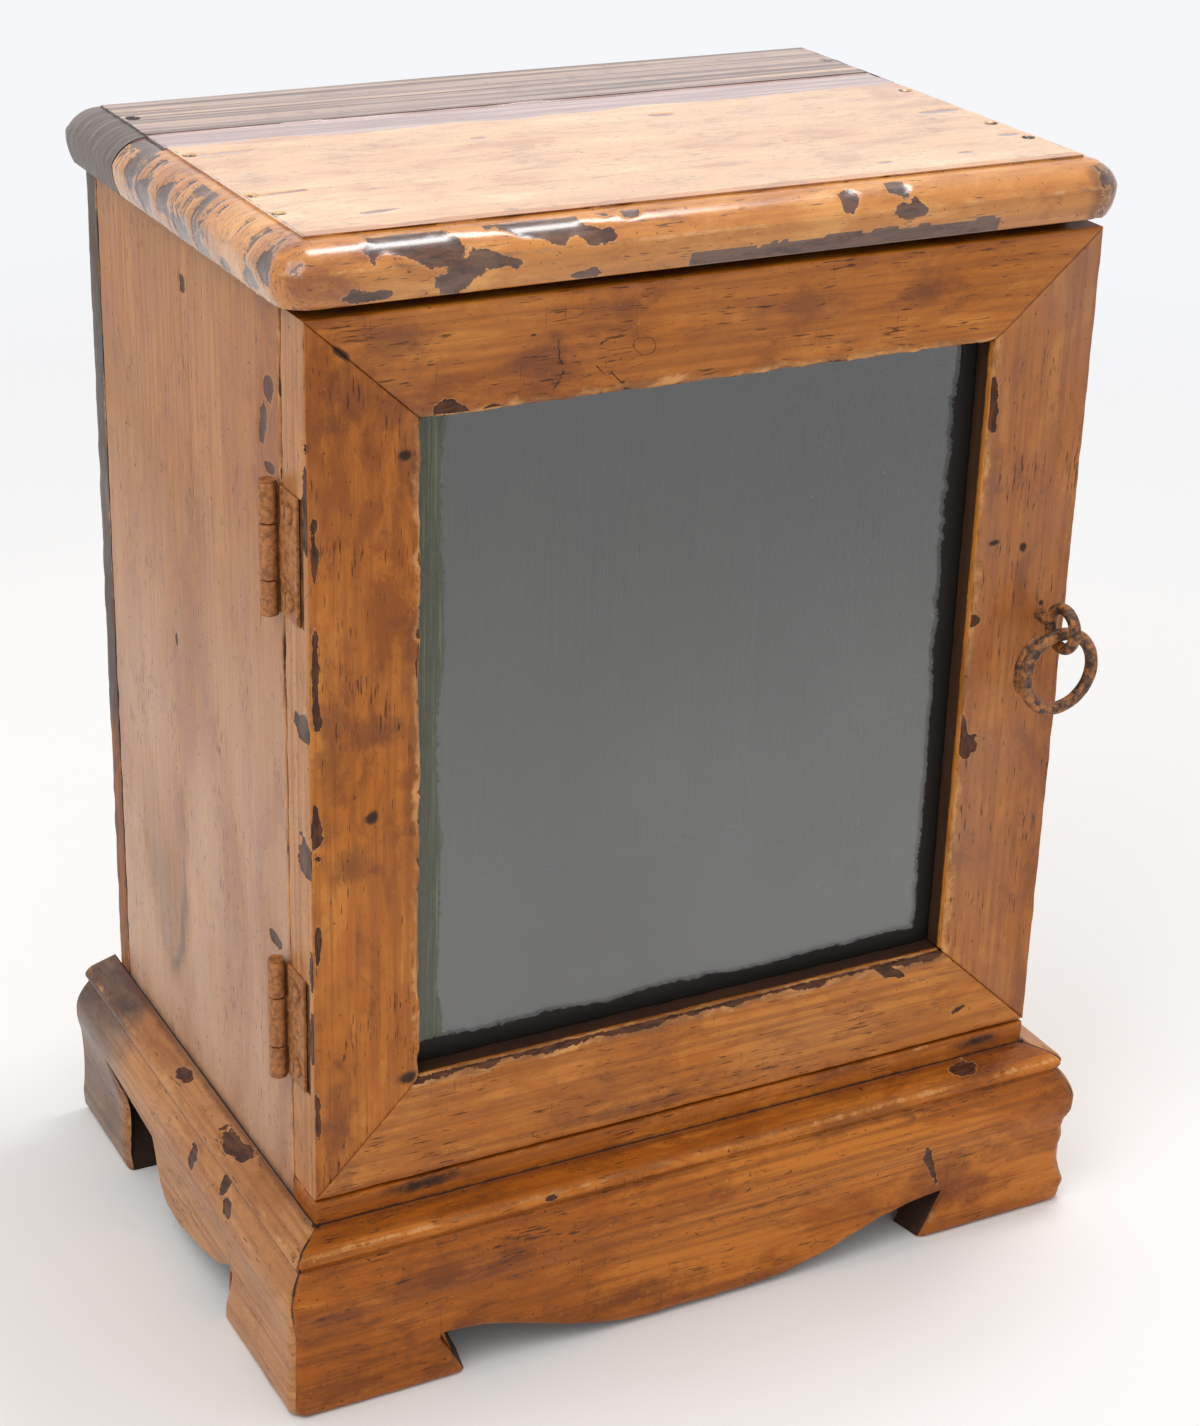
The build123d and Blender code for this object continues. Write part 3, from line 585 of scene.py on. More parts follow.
def broken_away(n, looks, axis, colour, patch, grain, hatch_lines, pale_chips):
    """Bare wood where the chip mark is high, with a pale rim of broken paint, and in nicks of a rubbed
    arris. A chip on end grain frays along its lines. Gives the colour and the bare wood."""
    nick = n.rise(n.plus(n.mark("rub_and_highlight"), n.times(n.speckle(210.0, 6, 0.7, 0.5), 0.95)), 1.18, 1.24)
    edge = n.plus(n.mark("chip"), n.times(n.speckle(330.0, 7, 0.75, 0.4), 0.6))
    edge = n.plus(edge, n.times(n.times(n.minus(hatch_lines, 0.5), n.mark("hatch")), 0.45))
    chip = n.rise(edge, 0.795, 0.815)
    rim = n.minus(n.rise(edge, 0.755, 0.785), chip)
    colour = n.mix(n.times(rim, 0.6), colour, looks.rubbed_and_highlit)
    fibres = n.rise(n.grain(axis, 120, 520, 5, 0.65), 0.4, 0.62)
    under = n.mix(fibres, looks.bare_dark, looks.bare)
    if pale_chips:
        under = n.mix(n.rise(patch, 0.42, 0.62, 0.0, 0.6), under, looks.bare_grey)
        pale = n.mix(n.rise(grain, 0.4, 0.6), looks.bare_pale_dark, looks.bare_pale)
        under = n.mix(n.mark("band"), pale, under)
    bare = n.larger(chip, nick)
    return n.mix(bare, colour, under), bare


def painted_wood(name, looks, palette, axis, banded=None, mottle=0.5, streaks=0.5, gloss=0.36,
                 coat=0.0, pale_chips=False, bloom_and_sheen=None):
    """Old varnished paint over wood: its tones, stains, a dull bloom under its mark for haze, which is dust
    and a painted sheen, pores, the end grain's lines under the hatch mark, flake lines, rubbed arrises with
    some painted highlights, chips, and soot with painted shade over all of them."""
    n = Nodes(name)
    cluster = n.speckle(48.0, 3, 0.6)
    coarse = n.speckle(150.0, 5, 0.72)
    colour, cloud, patch, grain = paint_tones(n, palette, axis, banded, streaks)
    colour = stained(n, looks, axis, colour, mottle, cluster)
    if bloom_and_sheen is not None:
        # Bloom under the haze mark: dust, and a painted sheen
        colour = n.mix(n.times(n.mark("haze_and_sheen"), n.rise(cloud, 0.3, 0.6, 0.6, 1.0)), colour, bloom_and_sheen)
    colour, pore = pored(n, looks, axis, colour, cluster)
    hatch_lines = n.noise(n.stretched((20, 900, 60)), 1.0, 5, 0.7)
    hatch = n.times(n.rise(hatch_lines, 0.5, 0.68), n.mark("hatch"))
    colour = n.mix(n.times(hatch, 0.7), colour, looks.bare)
    colour, flake = flaked(n, looks, colour)
    colour, rubbed_and_highlit = rubbed_thin(n, looks, colour, patch, coarse)
    colour, bare = broken_away(n, looks, axis, colour, patch, grain, hatch_lines, pale_chips)
    # Soot mark: grime, and painted shade inside, under things and in recesses
    soot_and_shade = n.rise(n.plus(n.mark("soot_and_shade"), n.times(n.speckle(200.0, 5, 0.65), 0.5)), 0.62, 0.95, 0.0, 0.92)
    colour = n.mix(soot_and_shade, colour, looks.soot_and_shade)
    rough = n.plus(n.rise(patch, 0.35, 0.65, gloss - 0.05, gloss + 0.08), n.times(soot_and_shade, 0.25), clamp=True)
    height = n.plus(n.times(grain, 0.5), n.times(n.speckle(1700.0, 3, 0.6), 0.12))
    height = n.plus(height, n.times(coarse, 0.5))
    for pit, depth in ((bare, 0.5), (pore, 0.3), (flake, 0.7), (hatch, 0.3), (rubbed_and_highlit, 0.15)):
        height = n.minus(height, n.times(pit, depth))
    return n.bumped(colour, rough, height, 0.5, 0.0005, Specular_IOR_Level=0.22, Coat_Weight=coat,
                    Coat_Roughness=0.2)


def weathered_wood(name, looks, palette, axis):
    """Unpainted, weathered softwood: grey ground with paler raised grain lines, dirt between them, and
    dark, hatched end grain under the band mark."""
    n = Nodes(name)
    light, mid, dark = palette
    rings = n.grain(axis, 2.6, 330, 4, 0.6, 0.2)
    fibre = n.grain(axis, 25, 900, 4, 0.6)
    cloud = n.grain(axis, 9, 26, 4, 0.6)
    colour = n.mix(n.rise(rings, 0.42, 0.56), dark, mid)
    lines = n.times(n.rise(rings, 0.53, 0.62), n.rise(cloud, 0.38, 0.56, 0.25, 0.9))
    colour = n.mix(lines, colour, light)
    colour = n.mix(n.rise(fibre, 0.5, 0.7, 0.0, 0.5), colour, dark)
    colour = n.mix(n.rise(n.speckle(90.0, 6, 0.7), 0.52, 0.7, 0.0, 0.5), colour, dark)
    hatch = n.rise(n.noise(n.stretched((20, 700, 60)), 1.0, 5, 0.7), 0.42, 0.66)
    end = n.mix(hatch, looks.slate_end, dark)
    colour = n.mix(n.rise(n.mark("band"), 0.2, 0.9), colour, end)
    # Soot mark: grime, and painted shade underneath
    colour = n.mix(n.rise(n.mark("soot_and_shade"), 0.3, 0.8, 0.0, 0.9), colour, looks.soot_and_shade)
    height = n.plus(rings, n.times(fibre, 0.45))
    rough = n.rise(cloud, 0.3, 0.7, 0.4, 0.55)
    return n.bumped(colour, rough, height, 0.7, 0.0009, Specular_IOR_Level=0.4)


def old_iron(name, looks, paint_left, seed, rust_colour):
    """Iron that was painted over with the wood's colour and has worn to brown rust and black."""
    n = Nodes(name)
    place = n.add("ShaderNodeMapping", {"Vector": n.place, "Location": (seed, seed, seed)}).outputs[0]
    patch = n.noise(place, 210.0, 6, 0.7, 0.4)
    grit = n.noise(place, 1300.0, 5, 0.7)
    rust = n.noise(place, 480.0, 5, 0.68)
    metal = n.mix(n.rise(rust, 0.4, 0.6), looks.iron_dark, rust_colour)
    left = 0.62 - 0.24 * paint_left
    paint = n.mix(n.rise(rust, 0.38, 0.62), looks.iron_paint_dark, looks.iron_paint)
    colour = n.mix(n.rise(patch, left, left + 0.07), metal, paint)
    colour = n.mix(n.rise(grit, 0.56, 0.74, 0.0, 0.45), colour, looks.dirt)
    # Soot mark: dirt, and painted shade on the side of the barrels and the eye turned from the lamp
    colour = n.mix(n.times(n.mark("soot_and_shade"), n.rise(patch, 0.3, 0.6, 1.0, 0.7)), colour, looks.dirt)
    rough = n.rise(rust, 0.35, 0.65, 0.42, 0.62)
    height = n.plus(n.times(rust, 0.4), n.times(grit, 0.35))
    return n.bumped(colour, rough, height, 0.4, 0.0004, Specular_IOR_Level=0.35)


def dark_and_shaded_inside(name, looks):
    """Bare, dark softwood of the case's inside, painted near black, which also paints the shade inside the
    closed case.
    """
    n = Nodes(name)
    grain = n.grain(2, 20, 300, 5, 0.6)
    cloud = n.speckle(14.0, 4, 0.6)
    colour = n.mix(n.rise(grain, 0.35, 0.65), looks.soot_and_shade, looks.bare_dark)
    colour = n.mix(n.rise(cloud, 0.4, 0.7, 0.0, 0.6), colour, looks.soot_and_shade)
    return n.bumped(colour, n.rise(grain, 0.3, 0.7, 0.6, 0.8), grain, 0.4, 0.0005)


# Pane: widths of the smear and of the black putty band, which also paints the jamb's shade and dark
# reflection, in mm, how far their edges wander, the tints of the glass and of its shadow, and the heights in
# m between which its film of dust, which also paints a brighter reflection low down, fades
SMEAR_WIDTH = 11.0
PUTTY_AND_SHADE_WIDTH_RIGHT = 6.5
PUTTY_AND_SHADE_WIDTH_LOW = 6.0
EDGE_WANDER_M = (0.009, 0.005)
EDGE_WANDER_MEAN = 7.0
GLASS_TINT = (0.93, 0.96, 0.94, 1)
SHADOW_TINT = (0.8, 0.82, 0.8, 1)
FILM_AND_REFLECTION_FADE_M = (0.34, 0.16)


def old_glass(name, looks):
    """Clear old pane with a strong reflection and a few specks, paint smeared on to it along its left edge by
    a wide brush, and ragged black putty along its right and its lower edge, which also paints the shade and
    dark reflection of the jamb. A film of dust, thicker low down, paints a brighter reflection there."""
    n = Nodes(name)
    axes = n.add("ShaderNodeSeparateXYZ", {0: n.place})
    x, z = axes.outputs[0], axes.outputs[2]
    long_wave = n.speckle(28.0, 3, 0.6)
    ragged = n.noise(n.stretched((260, 1, 520)), 1.0, 5, 0.7)
    wander = n.plus(n.times(long_wave, EDGE_WANDER_M[0]), n.times(ragged, EDGE_WANDER_M[1]))

    def edge_band(distance, width_mm):
        """Covers a ragged band as wide as given along an edge, from the distance to it."""
        reach = n.plus(wander, (width_mm - EDGE_WANDER_MEAN) * MM)
        return n.rise(n.minus(distance, reach), -0.0003, 0.0004, 1.0, 0.0)

    smear = edge_band(n.minus(x, OPENING_LEFT * MM), SMEAR_WIDTH)
    strokes = n.noise(n.stretched((1100, 1, 14)), 1.0, 5, 0.7)
    smear = n.times(smear, n.rise(strokes, 0.36, 0.6, 0.3, 0.95))
    smear_colour = n.mix(n.rise(strokes, 0.5, 0.68), looks.smear, looks.smear_light)
    # Black putty band: putty, and painted shade and dark reflection of the rebate's jamb
    right = edge_band(n.minus(OPENING_RIGHT * MM, x), PUTTY_AND_SHADE_WIDTH_RIGHT)
    low = edge_band(n.minus(z, OPENING_BOTTOM * MM), PUTTY_AND_SHADE_WIDTH_LOW)
    putty_and_shade = n.larger(right, low)
    specks = n.rise(n.speckle(900.0, 2, 0.5), 0.76, 0.8, 0.0, 0.5)
    # Dust film, thicker low down: dust, and a painted brighter reflection lower on the pane
    film_and_reflection = n.rise(n.noise(n.stretched((9, 9, 5)), 1.0, 3, 0.5), 0.3, 0.75, 0.4, 1.0)
    film_and_reflection = n.times(film_and_reflection, n.rise(z, *FILM_AND_REFLECTION_FADE_M, 0.0, 0.075))
    clear = n.surface(GLASS_TINT, 0.012, IOR=1.72, Transmission_Weight=1.0)
    dust_and_reflection = n.surface(looks.dust_and_reflection, 0.8)
    layer = n.layered(n.plus(film_and_reflection, specks, clamp=True), clear, dust_and_reflection)
    layer = n.layered(smear, layer, n.surface(smear_colour, 0.35))
    layer = n.layered(putty_and_shade, layer, n.surface(looks.putty_and_shade, 0.5, Specular_IOR_Level=0.3))
    rays = n.add("ShaderNodeLightPath").outputs
    lets_by = n.larger(rays["Is Shadow Ray"], rays["Is Diffuse Ray"])
    lets_by = n.times(lets_by, n.minus(1.0, n.larger(smear, putty_and_shade)))
    return n.finish(n.layered(lets_by, layer, n.add("ShaderNodeBsdfTransparent", {"Color": SHADOW_TINT})))


# Settings


def colour_property(name, description, default):
    """Colour in the sidebar, given as three values from 0 to 255."""
    return FloatVectorProperty(
        name=name, description=description, subtype="COLOR", size=4, min=0.0, max=1.0, default=srgb(*default)
    )


# Finishes in three tones each, as (name, label, what it colours, light, middle, dark)
TONES = (
    ("paint", "Paint", "the frame's ochre", (200, 126, 46), (178, 102, 26), (140, 74, 18)),
    ("base", "Plinth", "the plinth's paint", (190, 112, 36), (160, 86, 20), (124, 66, 20)),
    # The sides' tan is their paint, with the pale sheen of the lit sides painted into it
    ("side", "Side", "the sides' tan", (184, 130, 82), (168, 112, 64), (146, 88, 46)),
    ("top", "Top", "the top's peach", (228, 188, 144), (216, 168, 120), (190, 134, 84)),
    ("nose", "Nosing", "the nosing's ochre", (216, 152, 78), (192, 122, 48), (146, 82, 30)),
    ("slate", "Slate", "the weathered rear board", (204, 174, 148), (172, 154, 146), (130, 116, 110)),
    ("grey", "Grime", "grey grime over the paint", (142, 112, 92), (112, 86, 70), (80, 60, 50)),
)


def tone_properties():
    """A colour property for each tone of each finish."""
    found = {}
    for key, label, what, light, middle, dark in TONES:
        found[f"{key}_light"] = colour_property(f"{label}, light", f"Palest tone of {what}", light)
        found[key] = colour_property(label, f"Middle tone of {what}", middle)
        found[f"{key}_dark"] = colour_property(f"{label}, dark", f"Darkest tone of {what}", dark)
    return found


class DisplayBoxLooks(bpy.types.PropertyGroup):
    """Colours of the finishes"""

    __annotations__.update(tone_properties())
    # Pale bloom low on the sides: dust, and a painted sheen
    bloom_and_sheen: colour_property("Bloom on the sides", "Dusty bloom low on the sides", (206, 180, 162))
    # Greyed varnish on the door: dull varnish, and a painted sheen of the pale room
    dull_sheen: colour_property("Dull varnish", "Dull, greyed varnish on the door", (142, 112, 96))
    slate_end: colour_property("End grain", "Dark end grain of the rear board", (98, 90, 86))
    stain: colour_property("Stain", "Brown mottling in the paint", (88, 42, 20))
    dirt: colour_property("Dirt", "Dirt in pores and cracks", (46, 26, 14))
    # Grime, and painted shade: the colour that the soot mark lays on the inside, the undersides, hidden faces
    # and recesses
    soot_and_shade: colour_property("Soot", "Grime in corners and unlit wood", (34, 26, 22))
    # Pale rubbed paint, also laid as a painted highlight along the nosing's quirk and the plinth's crest
    rubbed_and_highlit: colour_property("Rubbed arris", "Paint rubbed thin along an arris", (208, 150, 92))
    rubbed_dark: colour_property("Dirty arris", "Dirt on a rubbed arris", (140, 92, 52))
    bare: colour_property("Bare wood", "Wood under chipped paint", (94, 54, 32))
    bare_dark: colour_property("Dark bare wood", "Dark grain of the wood under the paint", (60, 32, 18))
    bare_grey: colour_property("Grey bare wood", "Weathered wood under the nosing's paint", (116, 86, 68))
    bare_pale: colour_property("Pale bare wood", "Weathered wood under the flat's paint", (182, 152, 144))
    bare_pale_dark: colour_property("Bare grain", "Grain of the weathered wood", (146, 118, 112))
    iron_dark: colour_property("Black iron", "Darkest iron", (48, 36, 32))
    iron_rust: colour_property("Rust", "Rust on the iron", (112, 76, 54))
    iron_paint: colour_property("Paint on iron", "Ochre paint left on the iron", (172, 112, 62))
    iron_paint_dark: colour_property("Dark paint on iron", "Soiled paint on the iron", (128, 80, 42))
    smear: colour_property("Smear on glass", "Old paint on the pane's edge", (76, 80, 54))
    smear_light: colour_property("Pale smear", "Pale strokes in the paint on the pane", (118, 122, 98))
    # Black band on the pane's edge: putty, and painted shade
    putty_and_shade: colour_property("Putty", "Old putty on the pane's edge", (24, 20, 17))
    # Dust on the pane, also laid as a film that paints a brighter reflection low down
    dust_and_reflection: colour_property("Dust", "Dust on the pane", (205, 208, 210))

    def tones(self, key):
        """Light, middle and dark tone of a finish."""
        return tuple(getattr(self, key + ending) for ending in ("_light", "", "_dark"))


def length_property(name, description, default_mm):
    """Length in the sidebar, given in mm."""
    return FloatProperty(name=name, description=description, default=default_mm * MM, min=0.0, unit="LENGTH")


class DisplayBoxSizes(bpy.types.PropertyGroup):
    """Sizes of the wear, the meshes and the studio"""

    arris_wear: length_property("Arris wear", "Deepest wear of an arris", 0.9)
    paint_depth: length_property("Paint depth", "Step at the edge of a chip", 0.35)
    fine_step: length_property("Fine step", "Grid step of the boards in front", 0.9)
    coarse_step: length_property("Coarse step", "Grid step of the large boards", 1.6)
    floor_reach: length_property("Floor", "Half the width of the studio floor", 6000.0)


def settings():
    """Looks, and the wear of the arrises and the depth of the paint in mm."""
    sizes = bpy.context.scene.display_box_sizes
    return bpy.context.scene.display_box_looks, sizes.arris_wear / MM, sizes.paint_depth / MM


def step_mm(name):
    """One of the grid steps, in mm."""
    return getattr(bpy.context.scene.display_box_sizes, name) / MM


# Top boards


# Nosing in mm: how far it stands out at its foot and in all, and how far below the top its arris lies
NOSING_WIDTH = 9.8
NOSING_BULGE = 2.5
NOSING_ARRIS = 8.8
ARRIS_SET_BACK = 0.15
UNDERCUT_BOW = 0.6
# Quirk, the small step between the flat and the nosing's arc, and the points along the whole profile
QUIRK_SLOPE = ((0.0, 0.0), (0.12, 0.75))
NOSING_QUIRK = 0.8
PROFILE_POINTS = 30
ARC_POINTS = 18
TOP_THICKNESS = 19.3
# Grid steps of four kinds of board, as shares of the fine or the coarse step
TOP_FRONT_STEP = 1.36
TOP_REAR_STEP = 1.1
BACK_STEP = 1.4
PLINTH_STEP = 1.15


def nosing_profile():
    """Thumbnail nosing from the flat's edge to the underside: a small step down, an arc that starts level
    and falls to the arris, then a parabola down and back under it. Gives how far out and how far down
    each point is."""
    arris_out = NOSING_WIDTH + NOSING_BULGE - ARRIS_SET_BACK
    span = 2 * math.atan2(NOSING_ARRIS - NOSING_QUIRK, arris_out)
    radius = arris_out / math.sin(span)
    angle = np.linspace(0, span, ARC_POINTS)
    t = np.linspace(0, 1, PROFILE_POINTS - ARC_POINTS - 1)[1:]
    step_out, step_down = np.array(QUIRK_SLOPE).T
    below_out = arris_out + UNDERCUT_BOW * t * (1 - t) - (arris_out - NOSING_WIDTH) * t**2
    below_down = TOP_THICKNESS - (TOP_THICKNESS - NOSING_ARRIS) * (1 - t)
    out = [step_out, radius * np.sin(angle), below_out]
    down = [step_down, NOSING_QUIRK + radius * (1 - np.cos(angle)), below_down]
    return np.concatenate(out), np.concatenate(down)


def nosed_board(low, high, nosed_front, step, extra):
    """Board whose flat top runs out into the nosing on both ends and one long edge. Beyond the flat, a
    grid point in ring k stands at the profile's k-th place, in the direction in which it left the flat."""
    shell = Shell()
    out, down = nosing_profile()
    rings = len(out) - 1
    reach = NOSING_WIDTH + NOSING_BULGE
    flat_x = (low[0] + reach, high[0] - reach)
    flat_y = (low[1] + reach, high[1]) if nosed_front else (low[1], high[1] - reach)

    def line(flat, before, after, lines):
        """Places along the flat, with its ends repeated once for each ring, and each place's ring."""
        places = spaced(flat[0], flat[1], step, (0, 0.4), lines)
        core = np.concatenate([[flat[0]] * before, places, [flat[1]] * after])
        ring = np.concatenate([-np.arange(before, 0, -1), np.zeros(len(places)), np.arange(1, after + 1)])
        return core, ring

    core_x, ring_x = line(flat_x, rings, rings, extra[0])
    core_y, ring_y = line(flat_y, rings if nosed_front else 0, 0 if nosed_front else rings, extra[1])
    core = np.stack(np.meshgrid(core_x, core_y, indexing="ij"), axis=-1)
    leave = np.stack(np.meshgrid(ring_x, ring_y, indexing="ij"), axis=-1)
    ring = np.abs(leave).max(axis=-1).astype(int)
    heading = leave / np.maximum(np.linalg.norm(leave, axis=-1, keepdims=True), 1e-9)
    plan = core + heading * out[ring][..., None]
    points = np.concatenate([plan, (high[2] - down[ring])[..., None]], axis=-1)
    slope_out, slope_down = np.gradient(out), np.gradient(down)
    tilt = np.hypot(slope_out, slope_down)
    upright = np.where(ring == 0, 1.0, (slope_out / tilt)[ring])
    sideways = np.where(ring == 0, 0.0, (slope_down / tilt)[ring])
    normals = np.concatenate([heading * sideways[..., None], upright[..., None]], axis=-1)
    shell.add(points, normals, 0.0)
    under = core + heading * (NOSING_WIDTH * ring / rings)[..., None]
    under = np.concatenate([under, np.full(ring.shape + (1,), low[2])], axis=-1)
    shell.add(under, np.array([0.0, 0.0, -1.0]), 0.0)
    edge = -1 if nosed_front else 0
    t = np.linspace(0, 1, 8)[:, None, None]
    wall = points[:, edge] * (1 - t) + under[:, edge] * t
    shell.add(wall, np.array([0.0, 1.0 if nosed_front else -1.0, 0.0]), 0.0)
    # Each mark's value on the top, underneath and on the wall at the joint
    no_ring, no_wall = 0 * ring, 0 * wall[..., 0]
    groups = {
        "band": (unit(ring), no_ring, no_wall),
        "quirk": ((ring == 1) | (ring == 2), no_ring, no_wall),
        "arris": (np.abs(down[ring] - NOSING_ARRIS) < 0.9, no_ring, no_wall),
        "below": (no_ring, ring < rings, no_wall),
        "joint": (no_ring, no_ring, 1 + no_wall),
    }
    for name, parts in groups.items():
        shell.marks[name] = np.concatenate([part.reshape(-1) for part in parts])
    return shell.close()


def top_board(name, nosed_front, step):
    """One of the two boards as a shell, with grid lines for its nail pits, and the pits' places."""
    low, high = node_box(name)
    nail_y = [CASE_FRONT_Y + offset for offset in TOP_NAIL_OFFSETS]
    nail_y = [y for y in nail_y if low[1] < y < high[1]]
    lines = (pit_lines((-TOP_NAIL_X, TOP_NAIL_X)), pit_lines(nail_y))
    shell = nosed_board(low, high, nosed_front, step, lines)
    return shell, low, high, [(side * TOP_NAIL_X, y) for side in (-1, 1) for y in nail_y]


# Marks on the flat of the top, as (x, y, half x, half y, turn)
TOP_MARKS = (
    (-38, 12, 3, 1.2, 10),
    (34, 20, 4.5, 1.6, 0),
    (103, -62, 3, 1, 0),
    (70, -64, 3, 0.8, 0),
    (-106, -61, 6, 1.3, 4),
    (-120, 22, 9, 1.6, 0),
    (-124, -31, 8, 1.2, 4),
    (126, -9, 8, 2.2, 0),
    (131, -46, 4, 1.6, 0),
)
# Marks on the front nosing, as (x, z, half x, half z, turn)
FRONT_NOSING_CHIPS = (
    (-107, 393.5, 15, 5, -8),
    (-62, 394, 15, 3.4, -8),
    (-93, 383, 7.5, 4.5, 25),
    (-82, 387.5, 8, 2.6, -15),
    (42, 392.4, 3.2, 3, 0),
    (61, 395, 3.2, 2.4, 0),
    (64, 387.5, 7, 2.2, 0),
    (-46, 396.6, 3, 1.2, 0),
    (-33, 395.4, 4, 1.5, 0),
    (-52, 379, 4, 1.8, 0),
    (-120, 380, 9, 2, 0),
)
# Marks on the left nosing, as (y, z, half y, half z, turn)
LEFT_NOSING_CHIPS = (
    (38, 389, 5, 4, 0),
    (24, 386, 7, 6.5, 20),
    (7, 388, 6, 5, -30),
    (-8, 381, 6, 3, 0),
    (-24, 380, 7, 3, 10),
    (-44, 380, 4, 3, 0),
    (-66, 381, 7, 3.6, 0),
    (-78, 388, 5, 4, 30),
)
# Places on the front board: where the paint ends before the joint, the bare strip under the nosing, the
# crack in the left nosing, the worn right corner, and the nosing, dirt and ochre from an edge inward
BARE_EDGE_Y = 34.0
STRIP_X = (-15.0, 98.5)
STRIP_TOP_Z = 382.6
LEFT_CRACK_Y = -4.0
WORN_CORNER_X = 130.5
NOSING_REACH = 13.0
DIRT_LINE = 13.2
OCHRE_LINE = 16.5


def bare_on_front_board(shell, on_top, in_front, on_left, on_right, corner):
    """How bare the paint has worn: beyond a ragged line along the joint, in chips, in a strip under the
    front nosing, and by noise on both ends and at the right corner."""
    x, y, z = shell.rest.T
    edge = BARE_EDGE_Y + 4.5 * shell.noise_along_x(34.0, 3, 5)
    strip_top = STRIP_TOP_Z + 1.3 * shell.noise_along_x(9.0, 8, 4)
    in_strip = (x > STRIP_X[0]) & (x < STRIP_X[1]) & (z < strip_top)
    layers = (
        (on_top, unit(0.5 + (y - edge) / 5)),
        (on_top, shell.patches(TOP_AXES, TOP_MARKS, 0.5)),
        (in_front, shell.patches(FRONT_AXES, FRONT_NOSING_CHIPS, 0.8)),
        (on_left, shell.patches(SIDE_AXES, LEFT_NOSING_CHIPS, 0.9)),
        (in_front & in_strip, 0.9),
        (on_left, 0.44 + 0.24 * shell.noise((20, 3.0, 20), 6) + 0.16 * shell.noise(12.0, 7)),
        (on_right, 0.42 + 0.3 * shell.noise(9.0, 4)),
        (~on_top, corner * (0.45 + 0.42 * shell.noise(7.0, 35, 4))),
    )
    return np.max([np.where(where, value, 0) for where, value in layers], axis=0)


def front_board(looks, paint):
    """Front board of the top: peach on the flat and ochre on the nosing, chipped along its nosing, bare
    along its joint, and weathered at its left end."""
    shell, low, high, nails = top_board("top_front_board", True, step_mm("fine_step") * TOP_FRONT_STEP)
    x, y, _ = shell.rest.T
    facing = shell.normals
    on_top = facing[:, 2] > 0.9
    in_front = (facing[:, 1] < -0.25) & (y < low[1] + NOSING_REACH)
    on_left = (facing[:, 0] < -0.25) & (x < low[0] + NOSING_REACH)
    on_right = (facing[:, 0] > 0.25) & (x > high[0] - NOSING_REACH)
    corner = unit((x - WORN_CORNER_X) / 7) * ~on_top
    shell.chipped(bare_on_front_board(shell, on_top, in_front, on_left, on_right, corner), paint)
    from_crack = y - LEFT_CRACK_Y - 4.0 * shell.noise(14.0, 11)
    from_quirk = y - low[1] - OCHRE_LINE - 1.2 * shell.noise_along_x(12.0, 34, 4)
    quirk = shell.marks["quirk"] > 0
    dirt_line = unit(1 - np.abs(x - low[0] - DIRT_LINE) / 2.2)
    for name, where, value in (
        ("stain", True, corner),
        ("hatch", on_left | on_right, 1),
        ("craze", on_left, 0.5 + from_crack / 30),
        # Pale line along the front quirk: painted highlight
        ("rub_and_highlight", quirk & in_front, 0.85),
        ("rub_and_highlight", True, shell.marks["arris"] * (0.45 + 0.3 * shell.noise(12.0, 24))),
        ("band", on_top, 0.5 - from_quirk / 1.6),
        ("soot_and_shade", quirk, np.where(on_left, 0.34 + 0.3 * shell.noise(10.0, 33), 0.12)),
        ("soot_and_shade", on_top, dirt_line * (0.5 + 0.3 * shell.noise(7.0, 13))),
        # Underside near black as painted shade under the top, and the joint's wall dark
        ("soot_and_shade", True, np.maximum(shell.marks["below"], shell.marks["joint"])),
    ):
        shell.mark(name, value, where)
    shell.nail_pits(nails, TOP_AXES, 2)
    shell.sink(0.16 * (1 + rough_noise(shell.points, 30.0, 12)) * (shell.marks["below"] < 0.5))
    material = painted_wood(
        "peach_and_ochre_paint", looks, looks.tones("top"), 0, looks.tones("nose"), mottle=0.3, streaks=0.3,
        gloss=0.32, coat=1.0, pale_chips=True,
    )
    make_piece("front_top_board", shell, "case", "top_front_board", material)


def rear_board(looks):
    """Rear board of the top, weathered, with raised grain lines along its length."""
    shell, _, _, nails = top_board("top_rear_board", False, step_mm("fine_step") * TOP_REAR_STEP)
    ridges = cell_noise(shell.rest, (140.0, 2.2, 50.0), 21)
    shell.sink(np.where(shell.normals[:, 2] > 0.5, 0.22 * (1 + ridges), 0.15))
    # Underside near black as painted shade under the top, and the joint's wall dark
    shell.mark("soot_and_shade", np.maximum(shell.marks["below"], shell.marks["joint"]))
    shell.nail_pits(nails, TOP_AXES, 2)
    material = weathered_wood("weathered_top", looks, looks.tones("slate"), 0)
    make_piece("rear_top_board", shell, "case", "top_rear_board", material)


# Case boards


# Marks on the left side, as (y, z, half y, half z, turn)
SIDE_CHIPS = (
    (-60, 346, 5.5, 5, 0),
    (-55, 334, 3, 7, 10),
    (13, 358, 2, 3, 0),
    (29, 229.5, 1.2, 3, 0),
    (-60, 320.5, 5, 2.2, 0),
    (-57, 157.5, 5, 2.2, 0),
)
# Middle and half sizes of the grey ring on the left side, and the heights where it and the pale bloom end;
# the bloom is dust and a painted sheen
SIDE_STAIN = (50.0, 142.0, 26.0, 52.0)
STAIN_TOP_Z = 200.0
BLOOM_AND_SHEEN_TOP_Z = 300.0
# Recess for a hinge leaf in the front edge of the left side, in mm: half height, width and depth
LEAF_RECESS_HALF = 20.85
LEAF_RECESS_WIDTH = 11.7
LEAF_RECESS_DEPTH = 1.68
# Height of the plinth, and the radius of the boards' arrises, in mm
PLINTH_HEIGHT = 65.4
BOARD_ARRIS_RADIUS = 0.8


